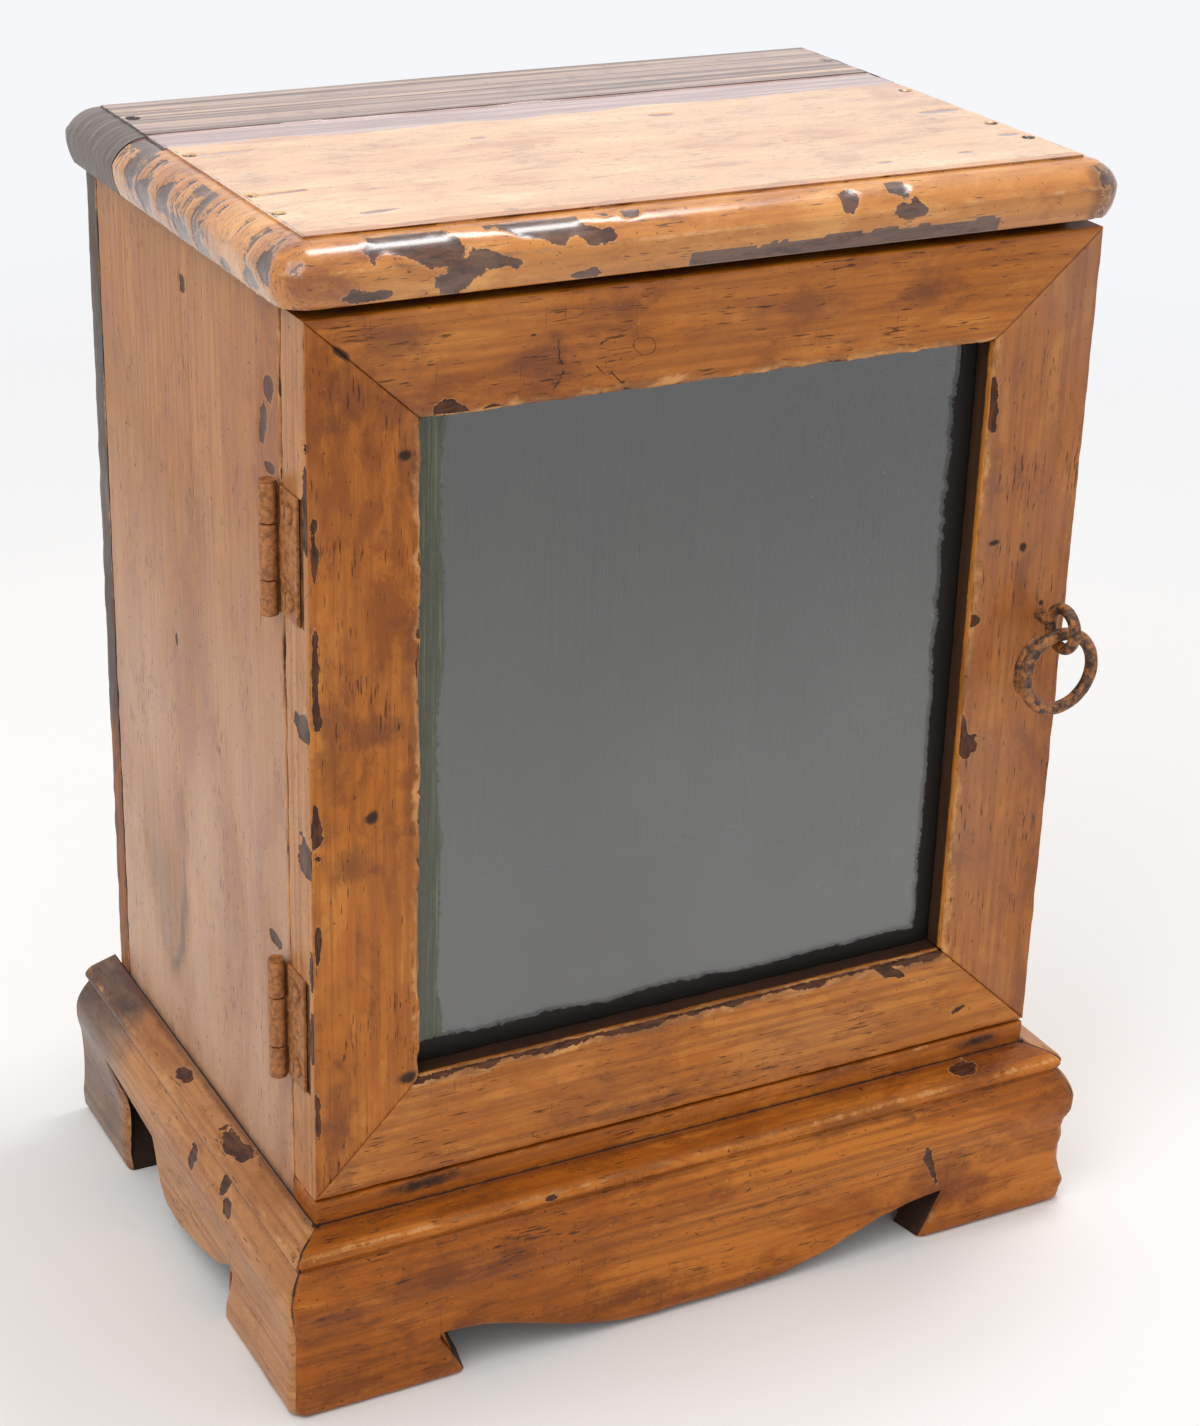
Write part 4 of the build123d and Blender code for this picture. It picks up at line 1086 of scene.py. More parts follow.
def case_leaf_recesses():
    """Bottom, top and inner edge of each hinge leaf's recess in the left side."""
    found = []
    for hinge in ("lower", "upper"):
        low, high = node_box(f"{hinge}_hinge_case_leaf")
        middle = (low[2] + high[2]) / 2
        found.append((middle - LEAF_RECESS_HALF, middle + LEAF_RECESS_HALF, high[0] + 0.1))
    return found


def side_stain(shell):
    """Grey ring low on the left side: a rim on its front half, filled by a streaky noise."""
    _, y, z = shell.rest.T
    y0, z0, half_y, half_z = SIDE_STAIN
    ring = np.hypot((y - y0) / half_y, (z - z0) / half_z) + 0.2 * shell.noise(18.0, 14)
    rim = unit(1 - np.abs(ring - 0.85) / 0.25) * unit((y0 + 6 - y) / 12)
    inner = unit((1.05 - ring) / 0.3) * (0.5 + 0.12 * shell.noise((9, 9, 50), 19))
    return np.maximum(0.72 * rim, inner) * unit((STAIN_TOP_Z - z) / 70)


def side_panel(side, looks, wear, paint):
    """Side of the case, near black inside as painted shade, its front edge let in for the hinge leaves where
    it has them.
    """
    is_left = side < 0
    end = "left" if is_left else "right"
    low, high = node_box(f"side_panel_{end}")
    recesses = case_leaf_recesses() if is_left else []
    leaf_lines = [z + shift for bottom, top, _ in recesses for z in (bottom, top) for shift in (-0.05, 0.05)]
    recess_lines = [low[0] + LEAF_RECESS_WIDTH + shift for shift in (-0.05, 0.05)] if is_left else []
    coarse = step_mm("coarse_step")
    shell = plank(low, high, BOARD_ARRIS_RADIUS, (2.0, coarse, coarse), (recess_lines, [], leaf_lines))
    x, y, z = shell.rest.T
    facing = shell.normals[:, 0] * side
    outside = facing > 0.5
    if is_left:
        shell.chipped(shell.patches(SIDE_AXES, SIDE_CHIPS, 0.6), paint, outside)
    shell.worn(0.5 * wear, 31 + side)
    for bottom, top, inner_x in recesses:
        let_in = (z > bottom) & (z < top) & (x < inner_x) & (y < low[1] + 1.5)
        shell.points[let_in, 1] = low[1] + LEAF_RECESS_DEPTH
    if is_left:
        shell.mark("band", side_stain(shell), outside)
    shell.mark("band", unit((PLINTH_HEIGHT + 4 - z) / 3) * 0.6, outside)
    # Darker towards the plinth's top
    at_wall = unit((PLINTH_HEIGHT + 9 - z) / 12)
    shell.mark("soot_and_shade", at_wall * (0.38 + 0.2 * shell.noise(18.0, 17)), outside)
    # Paler low on the side: dust, and a painted sheen
    lower = unit((BLOOM_AND_SHEEN_TOP_Z - z) / 110) * (0.42 + 0.12 * shell.noise((30, 30, 90), 23))
    shell.mark("haze_and_sheen", lower * (1 - shell.marks["band"] * is_left), outside)
    # Inside and underneath near black: painted shade
    shell.mark("soot_and_shade", 1, (facing < -0.5) | (shell.normals[:, 2] < -0.5))
    # Tan palette: the side's paint, with a painted sheen
    material = painted_wood(
        f"tan_paint_{end}", looks, looks.tones("side"), 2, looks.tones("grey"), mottle=0.2, streaks=0.5,
        gloss=0.4, bloom_and_sheen=looks.bloom_and_sheen,
    )
    make_piece(f"side_board_{end}", shell, "case", f"side_panel_{end}", material)


# Rows of nails in the back, and the height where its edge turns dark
BACK_NAIL_ROWS = 5
DARK_EDGE_Z = 150.0


def back_board(looks, wear):
    """Back of the case: its upright edge is dark at the top and tan lower down."""
    low, high = node_box("back_panel")
    spread = (high[2] - low[2]) / BACK_NAIL_ROWS
    nail_z = [low[2] + spread * (row + 0.5) for row in range(BACK_NAIL_ROWS)]
    lines = (pit_lines((-TOP_NAIL_X, TOP_NAIL_X)), [], pit_lines(nail_z))
    coarse = step_mm("coarse_step") * BACK_STEP
    shell = plank(low, high, BOARD_ARRIS_RADIUS, (coarse, 1.6, coarse), lines).worn(0.6 * wear, 41)
    shell.mark("band", (shell.points[:, 2] - DARK_EDGE_Z) / 40, np.abs(shell.normals[:, 0]) > 0.3)
    shell.marks["rub_and_highlight"] *= 0.7
    # Inside face near black: painted shade in the case
    shell.mark("soot_and_shade", 1, shell.normals[:, 1] < -0.5)
    shell.nail_pits([(side * TOP_NAIL_X, z) for side in (-1, 1) for z in nail_z], FRONT_AXES, 1)
    material = painted_wood(
        "tan_paint_back", looks, (looks.side, looks.side_dark, looks.bare), 2,
        (looks.slate_dark, looks.slate_end, looks.grey_dark), mottle=0.5, gloss=0.5,
    )
    make_piece("back_board", shell, "case", "back_panel", material)


# Soot on the sill, as (x, z, half x, half z, turn), and the height of its joint with the plinth
SILL_SOOT = ((-102, 71, 18, 3, 0), (120, 70.5, 16, 3, 0))
SILL_JOINT_Z = 68.5


def floor_and_sill(looks, wear):
    """Floor of the case, and the rail under the door."""
    low, high = node_box("bottom_board")
    floor = plank(low, high, 0.6, (2.5, 2.5, 2.5)).worn(0.3, 51)
    # Floor near black: dark wood, and painted shade inside the case
    make_piece("floor_board", floor, "case", "bottom_board", dark_and_shaded_inside("dark_and_shaded_inside", looks))
    low, high = node_box("front_sill")
    sill = plank(low, high, BOARD_ARRIS_RADIUS, (step_mm("fine_step"),) * 3).worn(wear, 61)
    facing_y = sill.normals[:, 1]
    sill.marks["rub_and_highlight"] *= 0.62
    # Front darker towards its joint with the plinth
    sill.mark("soot_and_shade", unit((SILL_JOINT_Z - sill.rest[:, 2]) / 3.5) * 0.66, facing_y < -0.5)
    sill.mark("soot_and_shade", sill.patches(FRONT_AXES, SILL_SOOT, 0.4) * 0.75)
    # Back and underside near black: painted shade inside the case
    sill.mark("soot_and_shade", 1, (facing_y > 0.5) | (sill.normals[:, 2] < -0.5))
    material = painted_wood("ochre_paint_sill", looks, looks.tones("base"), 0, mottle=0.5)
    make_piece("sill_rail", sill, "case", "front_sill", material)


# Plinth


# Moulding as (z, out) in threes: each three lie on one parabola
PLINTH_CURVES = (
    ((0.0, 14.8), (4.0, 15.1), (8.0, 15.4)),
    ((8.0, 15.4), (22.0, 14.4), (36.5, 15.2)),
    ((36.5, 15.2), (40.7, 16.2), (45.0, 16.4)),
    ((45.0, 16.4), (50.7, 15.1), (56.0, 11.2)),
    ((56.0, 11.2), (56.8, 11.0), (57.8, 11.9)),
    ((57.8, 11.9), (60.9, 11.6), (62.5, 9.5)),
    ((62.5, 9.5), (64.0, 4.6), (65.4, 0.0)),
)
# Below this height the moulding's levels are drawn in towards the cut edge
HOLD_Z = 40.0


def plinth_out(z):
    """How far the moulding stands out at a height: the parabola through each three of its points."""
    out = np.zeros_like(z)
    for (z0, o0), (z1, o1), (z2, o2) in PLINTH_CURVES:
        value = (
            o0 * (z - z1) * (z - z2) / ((z0 - z1) * (z0 - z2))
            + o1 * (z - z0) * (z - z2) / ((z1 - z0) * (z1 - z2))
            + o2 * (z - z0) * (z - z1) / ((z2 - z0) * (z2 - z1))
        )
        out = np.where((z >= z0) & (z <= z2 + 1e-9), value, out)
    return np.maximum(out, 0)


def plinth_levels(step):
    """Heights that divide the moulding's face into even steps along its curve."""
    z = np.linspace(0, PLINTH_HEIGHT, 2000)
    out = plinth_out(z)
    run = np.concatenate([[0], np.cumsum(np.hypot(np.diff(z), np.diff(out)))])
    levels = np.interp(np.linspace(0, run[-1], int(run[-1] / step)), run, z)
    return np.unique(np.concatenate([[0, 0.25, 0.6, 1.1, HOLD_Z], levels]))


# Cut edge: the radius of its arris, the steps across it, and how far into a foot its wall's lean reaches
CUT_RADIUS = 2.0
CUT_RUN = np.linspace(0, 1, 7)[:, None]
LEAN_REACH = 28.0
# Mitred corner of the plinth: its least rounding, how much a noise adds to it, and how much its foot does
CORNER_RADIUS = 4.0
CORNER_WEAR = 6.0
CORNER_FOOT_WEAR = 2.0


def moulding(columns, bottom, walls, mitres, step):
    """Plinth board as (distance along, out, z): its face follows the moulding's curve above a cut lower
    edge. A foot's columns lean with its inner wall, whose place at each height is given, and the lean
    fades over the foot. The arris along the cut edge is rounded by a quarter circle. At a mitre the
    corner is rounded by a radius that is a noise of the height, so that both its boards are worn alike."""
    shell = Shell()
    levels = plinth_levels(step)
    base = bottom(columns)[:, None]
    z = np.where(levels > HOLD_Z, levels, base + (HOLD_Z - base) * levels / HOLD_Z)
    along = np.repeat(columns[:, None], len(levels), axis=1)
    from_cut = z - base
    for wall, heights, places, direction in walls:
        lean = np.interp(z, heights, places) - wall
        inside = (columns[:, None] - wall) * direction
        held = (inside >= 0) & (z < heights[-1])
        along = along + np.where(held, lean * unit(1 - inside / LEAN_REACH), 0)
        from_cut = np.where(held & (z < heights[-1] - 1), np.minimum(from_cut, inside), from_cut)
    shy = np.clip(CUT_RADIUS - from_cut, 0, CUT_RADIUS)
    recess = CUT_RADIUS - np.sqrt(np.maximum(CUT_RADIUS**2 - shy**2, 0))
    low, high = columns[0], columns[-1]
    at_height = np.stack([0 * z, 0 * z, z], axis=-1)
    full_out = plinth_out(z)
    stretch = 1 + 8 * full_out / (high - low)
    for place, seed in mitres:
        turn = CORNER_RADIUS + CORNER_WEAR * np.clip(rough_noise(at_height, 9.0, seed) + 0.3, 0, 1.3)
        turn += CORNER_FOOT_WEAR * unit(1 - z / 3.0) ** 2
        distance = np.abs(along - place) * stretch + (1 - math.sqrt(0.5)) * turn
        recess = recess + turn - np.sqrt(turn**2 - np.clip(turn - distance, 0, turn) ** 2)
    out = np.maximum(full_out - recess, 0.05 * (full_out > 0.01))
    start = -out if any(abs(place - low) < 0.01 for place, _ in mitres) else 0 * out
    end = out if any(abs(place - high) < 0.01 for place, _ in mitres) else 0 * out
    share = (along - low) / (high - low)
    face_along = along + start * (1 - share) ** 8 + end * share**8
    near = unit(1 - from_cut / ARRIS_REACH)
    for place, _ in mitres:
        near = np.maximum(near, 0.62 * unit(1.3 - np.abs(along - place) / ARRIS_REACH))
    outward = np.array([0.0, 1.0, 0.0])
    shell.add(np.stack([face_along, out, z], axis=-1), outward, near)
    shell.add(np.stack([along, np.zeros_like(out), z], axis=-1), -outward, 0.0)

    def closing(at, facing):
        """Flat strip from the face to the plane behind it, at one row or column of both."""
        strip = [face_along[at] * (1 - CUT_RUN) + along[at] * CUT_RUN, out[at] * (1 - CUT_RUN)]
        shell.add(np.stack(strip + [z[at] + 0 * CUT_RUN], axis=-1), np.array(facing), 0.0)

    closing((slice(None), 0), (0.0, 0.0, -1.0))
    closing(0, (-1.0, 0.0, 0.0))
    closing(-1, (1.0, 0.0, 0.0))
    return shell.close()


def cut_columns(low, high, step, walls):
    """Columns with a pair of them close together at each foot's inner wall."""
    pairs = [wall + offset for wall in walls for offset in (-0.02, 0.02, -0.6, 0.6, -1.3, 1.3)]
    return spaced(low, high, step, (0, 0.2, 0.4, 0.7, 1.0, 1.4, 1.9), pairs)


# Cut lower edges, in mm: the front's feet and apron, and the side's curve as (distance, height)
FOOT_WIDTH = 51.5
FOOT_LEAN = 8.5
FRONT_WALL = HALF_WIDTH - FOOT_WIDTH + FOOT_LEAN
APRON_FLAT = 20.0
APRON_LOW = 1.2
APRON_HIGH = 18.0
SIDE_CURVE = (
    (45.5, 25.0),
    (58.0, 17.6),
    (76.0, 12.5),
    (95.0, 10.2),
    (110.0, 10.5),
    (118.0, 17.5),
    (122.0, 31.0),
    (169.0, 37.0),
)
FRONT_FOOT, REAR_FOOT = SIDE_CURVE[0][0], SIDE_CURVE[-1][0]
# Inner walls of the feet, as (distance at the top, heights, distances there, direction into the foot)
FRONT_WALLS = [
    (side * FRONT_WALL, (0, APRON_HIGH), (side * (FRONT_WALL - FOOT_LEAN), side * FRONT_WALL), side)
    for side in (1, -1)
]
SIDE_WALLS = (
    (FRONT_FOOT, (0, 25.0), (52.0, FRONT_FOOT), -1),
    (REAR_FOOT, (0, 27.0, 37.0), (151.0, 153.7, REAR_FOOT), 1),
)


def front_bottom(x):
    """Cut edge of the front board: the floor under the feet, and between them an apron that droops from
    the notches to the middle along half a cosine wave."""
    t = unit((np.abs(x) - APRON_FLAT) / (FRONT_WALL - APRON_FLAT))
    apron = APRON_LOW + (APRON_HIGH - APRON_LOW) * (1 - np.cos(math.pi * t)) / 2
    return np.where(np.abs(x) < FRONT_WALL, apron, 0)


def side_bottom(distance):
    """Cut edge of a side board: feet on the floor, and a low apron with a step up behind it."""
    place, height = np.array(SIDE_CURVE).T
    fine = np.linspace(place[0], place[-1], 400)
    line = np.interp(fine, place, height)
    soft = np.convolve(np.pad(line, 8, mode="edge"), np.ones(17) / 17, mode="valid")
    line = np.where(fine < 118, soft, line)
    gap = (distance > place[0]) & (distance < place[-1])
    return np.where(gap, np.interp(distance, fine, line), 0)


# Marks on the plinth's front as (x, z, half x, half z, turn), and on its sides as (y, z, ...)
PLINTH_SOOT = (
    (17, 35.5, 44, 1.3, 0),
    (-73, 50, 15, 1.8, -12),
    (86.3, 54, 1.8, 1.2, 0),
    (-155, 57, 3, 7, 0),
    (92, 5, 6, 6, 0),
    (-146, 40, 8, 2.2, 8),
    (-118, 46, 20, 1.5, 6),
)
PLINTH_STAINS = (
    (-100, 46, 16, 6, 0),
    (-140, 38, 9, 5, 0),
    (-78, 44, 12, 5, 10),
    (-136, 8, 18, 6, 0),
    (-30, 12, 26, 6, 0),
    (100, 22, 14, 10, 0),
    (60, 58, 30, 3, 0),
)
PLINTH_LIGHT = ((-10, 28, 62, 12, 4), (60, 46, 60, 9, 0))
PLINTH_CHIPS = ((112, 63.6, 6.5, 0.8, 0), (95, 31, 1.6, 9, 20), (-60, 60, 3, 1.2, 0))
PLINTH_SIDE_CHIPS = (
    (-30, 63.5, 13, 1, 0),
    (-38, 55, 3, 3.5, 0),
    (-12, 50, 2.5, 3.5, 0),
    (-46, 50, 4, 2, 20),
    (20, 63.6, 6, 0.8, 0),
)
# Heights on the moulding: its groove, darkened with dirt and painted shade, the crests over it, paler from
# rubbing and with a painted highlight, and the swell under it
GROOVE_Z = 56.4
CREST_Z = 61.2
PALE_CREST_Z = 60.5
SWELL_Z = 44.0
# Heights where the top edge's stain and its soot start, below which the boards darken towards the floor, and
# the foot of the crack at a mitre; and where the sides' paint turns grey towards the rear
EDGE_STAIN_Z = 64.0
EDGE_SOOT_Z = 64.9
FOOT_DARKENING_Z = 4.0
CRACK_FOOT_Z = 34.0
REAR_GREY_Y = 42.0
# Noise of each front corner's wear, by the side it is on
CORNER_SEEDS = {-1: 201, 1: 207}


def dress_plinth(shell, side, looks, wear, paint, node):
    """Wears, marks and makes one plinth board that already stands in its place. Side 0 is the front."""
    x, y, z = shell.rest.T
    front = side == 0
    axes = FRONT_AXES if front else SIDE_AXES
    shown = shell.marks["hidden"] < 0.5

    def ridge(height, half, strength):
        """Line along the moulding that fades over half its width above and below a height."""
        return unit(1 - np.abs(z - height) / half) * strength

    shell.worn(wear, 71 + side, 9.0, 0.2)
    shell.marks["rub_and_highlight"] *= 0.6
    # Crest and swell rubbed paler; on the crest this is also a painted highlight
    shell.mark("rub_and_highlight", np.maximum(ridge(CREST_Z, 1.8, 0.55), ridge(SWELL_Z, 3.0, 0.28)), shown)
    if side <= 0:
        chips = PLINTH_CHIPS if front else PLINTH_SIDE_CHIPS
        shell.chipped(shell.patches(axes, chips, 0.8), paint)
    shell.mark("stain", unit((z - EDGE_STAIN_Z) / 1.2))
    # Darker towards the floor
    shell.mark("soot_and_shade", unit((FOOT_DARKENING_Z - z) / 5) * 0.6)
    shell.mark("soot_and_shade", unit((z - EDGE_SOOT_Z) / 0.5) * 0.66)
    # Dark line in the groove: dirt, and painted shade
    shell.mark("soot_and_shade", ridge(GROOVE_Z, 1.1, 0.62))
    if front:
        shell.mark("soot_and_shade", shell.patches(axes, PLINTH_SOOT, 0.8) * 0.62)
        shell.mark("stain", shell.patches(axes, PLINTH_STAINS, 0.9) * 0.8)
        shell.mark("light", shell.patches(axes, PLINTH_LIGHT, 0.3))
        # Pale line along the crest: painted highlight
        shell.mark("light", ridge(PALE_CREST_Z, 3.0, 0.9))
    else:
        rear = unit((y - REAR_GREY_Y) / 34) * 0.75
        shell.mark("light", 0.7 * (1 - rear), shown)
        shell.mark("band", rear + 0.25 * shell.noise(20.0, 15))
    off_mitre = np.abs(np.abs(x) - HALF_WIDTH - (FRONT_Y - y))
    crack = unit(1.5 + 0.8 * shell.noise(6.0, 18) - off_mitre / 1.2)
    crack = crack * unit((z - CRACK_FOOT_Z) / 8)
    shell.sink(0.7 * crack).mark("soot_and_shade", crack)
    # Back and downward faces near black: painted shade behind and under the plinth
    shell.mark("soot_and_shade", shell.marks["hidden"])
    # Side boards take the sides' tan, with its painted sheen
    material = painted_wood(
        f"ochre_paint_{node}_board", looks, looks.tones("base" if front else "side"), 0 if front else 1,
        looks.tones("grey"), mottle=0.5, streaks=0.6, gloss=0.34,
    )
    make_piece(f"{node}_board", shell, "case", node, material)


def plinth_boards(looks, wear, paint):
    """Front board and two side boards of the plinth."""
    step = step_mm("fine_step") * PLINTH_STEP
    depth = node_box("plinth_left")[1][1] - FRONT_Y
    for side, node in ((0, "plinth_front"), (-1, "plinth_left"), (1, "plinth_right")):
        if side:
            columns = cut_columns(0, depth, step, (FRONT_FOOT, REAR_FOOT))
            shell = moulding(columns, side_bottom, SIDE_WALLS, ((0, CORNER_SEEDS[side]),), step)
        else:
            columns = cut_columns(-HALF_WIDTH, HALF_WIDTH, step, (-FRONT_WALL, FRONT_WALL))
            mitres = [(end * HALF_WIDTH, seed) for end, seed in CORNER_SEEDS.items()]
            shell = moulding(columns, front_bottom, FRONT_WALLS, mitres, step)
        along, out, z = shell.points.T
        n_along, n_out, n_z = shell.normals.T
        shell.marks["hidden"] = ((out < 0.01) | (n_z < -0.7)).astype(float)
        if side:
            places, normals = (side * (HALF_WIDTH + out), FRONT_Y + along, z), (side * n_out, n_along, n_z)
        else:
            places, normals = (along, FRONT_Y - out, z), (n_along, -n_out, n_z)
        shell.settle(np.stack(places, axis=1), np.stack(normals, axis=1))
        dress_plinth(shell, side, looks, wear, paint, node)


# Door frame


# Marks on the door's face, as (x, z, half x, half z, turn)
DOOR_CHIPS = (
    (-92, 341.6, 5, 2.6, -10),
    (-80, 340.6, 5, 1.6, 0),
    (92, 339, 6, 1.6, 0),
    (103, 241, 1.6, 1.8, 0),
    (79, 109.5, 8, 2, -28),
    (103, 197.5, 2.2, 10, 10),
    (103.2, 318, 1.4, 9, 5),
    (-104, 262, 1.4, 7, 0),
    (-138.8, 300, 1, 9, 0),
    (-139, 262, 1.2, 13, 0),
    (-139.5, 214, 1.4, 8, 0),
    (-139.2, 170, 1.2, 10, 0),
    (-139.8, 104, 1.2, 8, 0),
    (112, 86, 3, 1.2, 20),
)
DOOR_FLAKES = (
    (-66, 352, 7, 10, 20),
    (-42, 352, 5, 4.5, -30),
    (-36, 348, 4.5, 4, 10),
    (-29, 354, 4, 2.5, -20),
)
DOOR_LIGHT = ((-62, 96, 55, 16, 0), (20, 100, 60, 12, 0))
DOOR_SOOT = (
    (-129.5, 363.5, 4, 1.5, -40),
    (-109.5, 329.9, 2.2, 1.6, 0),
    (-120.6, 211.6, 2.6, 2, 20),
    (108.3, 268.5, 2.2, 0.9, 0),
    (120.5, 265.2, 1.6, 2, 0),
    (130.5, 243, 1.3, 1.3, 0),
    (-107.5, 113.7, 3.4, 2.6, 0),
)
DOOR_STAINS = (
    (-62, 353, 9, 7, 0),
    (-126, 351, 11, 9, 0),
    (-116, 366, 13, 5, 0),
    (-112, 345, 6, 9, 30),
    (-107, 327, 5, 12, 0),
    (72, 361, 7, 6, 30),
    (-28, 80, 34, 2.2, 0),
    (-40, 367, 16, 3, 0),
    (-134, 236, 5, 20, 0),
    (-120, 241, 8, 5, 20),
    (-106, 222, 4, 16, 0),
    (-108, 268, 4, 10, 0),
    (-127, 196, 6, 8, 0),
    (-133, 100, 6, 16, 0),
    (30, 360, 16, 4, 0),
    (106, 292, 2.5, 12, 0),
    (121, 252, 3, 9, 0),
)
# Marks on the left stile's edge, as (y, z, half y, half z, turn)
EDGE_CHIPS = (
    (-84, 244, 5, 4, 0),
    (-84, 199, 5, 7, 0),
    (-88, 316, 2, 14, 0),
    (-88, 160, 2, 8, 0),
    (-88, 134, 2, 9, 0),
)
# How much greyed varnish and painted sheen each piece shows, and how strongly it is rubbed along the glass
DOOR_SHEEN = {"door_stile_left": 0.12, "door_stile_right": 0.5, "door_rail_bottom": 0.15, "door_rail_top": 0.2}
DOOR_RUB = {"door_stile_left": 0.9, "door_stile_right": 0.8, "door_rail_bottom": 1.35, "door_rail_top": 0.95}
# Recess of a hinge's leaf in the left stile's edge, its depth and length, and the depth of the pocket for
# the legs of the eye
LEAF_LET_IN = 0.6
LEAF_LET_IN_LENGTH = 15.4
POCKET_DEPTH = 2.6
# Split-pin eye: its middle, the radius of its wire's line and of its wire, and of its legs
EYE_X = HALF_WIDTH - 11.5
EYE_Z = 238.8
EYE_LINE = 7.0
EYE_WIRE = 2.25
LEG_RADIUS = 2.2


def frame_members():
    """The door's four pieces: where the outer edge is, which way is inward, the axis along, the mitres'
    places at the outer and the inner edge, and the width."""
    left, right = OPENING_LEFT + HALF_WIDTH, HALF_WIDTH - OPENING_RIGHT
    bottom, top = OPENING_BOTTOM - DOOR_BOTTOM, DOOR_TOP - OPENING_TOP
    tall = ((DOOR_BOTTOM, OPENING_BOTTOM), (DOOR_TOP, OPENING_TOP))
    wide = ((-HALF_WIDTH, OPENING_LEFT), (HALF_WIDTH, OPENING_RIGHT))
    return {
        "door_stile_left": (-HALF_WIDTH, 1, 2, tall, left),
        "door_stile_right": (HALF_WIDTH, -1, 2, tall, right),
        "door_rail_bottom": (DOOR_BOTTOM, 1, 0, wide, bottom),
        "door_rail_top": (DOOR_TOP, -1, 0, wide, top),
    }


def fitting_lines(node):
    """Heights that need grid lines: the ends of the leaves' recesses or of the pocket for the legs."""
    heights = {
        "door_stile_left": [z for low, high in DOOR_LEAVES for z in (low[2], high[2])],
        "door_stile_right": [EYE_LOW[2], EYE_HIGH[2]],
    }
    return [z + shift for z in heights.get(node, []) for shift in (-0.12, 0.12)]


def let_fittings_in(shell, node):
    """Lets the hinges' leaves into the left stile's edge, and the eye's legs into the right one's back."""
    if node == "door_stile_left":
        for low, high in DOOR_LEAVES:
            lowest = (-HALF_WIDTH - 1, DOOR_BACK_Y - LEAF_LET_IN_LENGTH, low[2])
            shell.let_in(lowest, (-HALF_WIDTH + 0.7, 0, high[2]), 0, LEAF_LET_IN)
    if node == "door_stile_right":
        lowest = (EYE_X - LEG_RADIUS - 0.4, DOOR_BACK_Y - 1, EYE_LOW[2])
        shell.let_in(lowest, (EYE_X + LEG_RADIUS + 0.4, 0, EYE_HIGH[2]), 1, -POCKET_DEPTH)


def frame_piece(number, node, member, looks, wear, paint):
    """One mitred piece of the frame with a ragged, rubbed arris along the glass."""
    outer, inward, along, _, width = member
    shell = mitred_member(*member, step_mm("fine_step"), fitting_lines(node))
    across = 2 - along
    y, facing = shell.rest[:, 1], shell.normals
    in_front, at_edge = facing[:, 1] < -0.4, facing[:, 0] < -0.6
    inside = (shell.rest[:, across] - outer) * inward
    opening_side = inside > width - ARRIS_REACH
    at_opening = opening_side & (y < FRONT_Y + 6)
    bite = np.clip(0.45 + 1.1 * shell.noise(7.0, 80 + number, 4), 0, 1.6)
    wave = 0.12 * (1 + shell.noise(40.0, 90 + number, 2))
    shell.sink(wear * np.where(at_opening, 2.3, 0.5) * shell.near**2 * bite + wave)
    shell.mark("rub_and_highlight", shell.near * np.where(at_opening, DOOR_RUB[node], 0.42) * (0.6 + 0.4 * bite))
    shell.chipped(shell.patches(FRONT_AXES, DOOR_CHIPS, 0.9), paint, in_front)
    if node == "door_stile_left":
        shell.chipped(shell.patches(SIDE_AXES, EDGE_CHIPS, 0.9), paint, at_edge)
        # The edge takes the sides' tan, with its painted sheen
        shell.mark("band", 1, at_edge)
    let_fittings_in(shell, node)
    rub_band = unit(1 - (width - inside) / 7) * (0.75 + 0.5 * shell.noise(8.0, 60 + number, 4))
    jamb = opening_side & (facing[:, across] * inward > 0.6)
    for name, where, value in (
        ("soot_and_shade", in_front, shell.patches(FRONT_AXES, DOOR_SOOT, 0.4)),
        ("rub_and_highlight", in_front, rub_band * DOOR_RUB[node]),
        ("stain", in_front, shell.patches(FRONT_AXES, DOOR_STAINS, 0.9) * 0.8),
        ("stain", in_front & ~at_opening, shell.near * 0.42),
        ("craze", in_front, shell.patches(FRONT_AXES, DOOR_FLAKES, 0.5)),
        ("light", in_front, shell.patches(FRONT_AXES, DOOR_LIGHT, 0.3)),
        # Lighter tone on the edge: painted light
        ("light", at_edge, 0.9),
        # Greyed, paler paint: dull varnish, and a painted sheen that differs from piece to piece
        ("haze_and_sheen", in_front, DOOR_SHEEN[node] * (0.8 + 0.5 * shell.noise(45.0, 70 + number))),
        # Jamb darker deeper into the rebate: painted shade
        ("soot_and_shade", jamb, (y - FRONT_Y - 1.5) / 2.5),
        # Back, which faces the inside of the case, darker
        ("soot_and_shade", facing[:, 1] > 0.5, 0.5),
    ):
        shell.mark(name, value, where)
    material = painted_wood(
        f"ochre_paint_{node}", looks, looks.tones("paint"), along, looks.tones("side"), mottle=0.55,
        streaks=0.6, bloom_and_sheen=looks.dull_sheen,
    )
    make_piece(f"{node}_piece", shell, "door", node, material)


def door_frame(looks, wear, paint):
    """Four frame pieces. The left stile is let in for the hinges' leaves, and the right one for the legs
    of the eye."""
    for number, (node, member) in enumerate(frame_members().items()):
        frame_piece(number, node, member, looks, wear, paint)


# Iron


# Ring of the pull: the radius of its rod's line and of its rod, and the tail that overlaps behind it
RING_LINE = 13.8
RING_ROD = 2.4
TAIL_ROD = 2.1
TAIL_SET_BACK = 3.6
TAIL_SPAN_DEG = (115.0, 210.0)


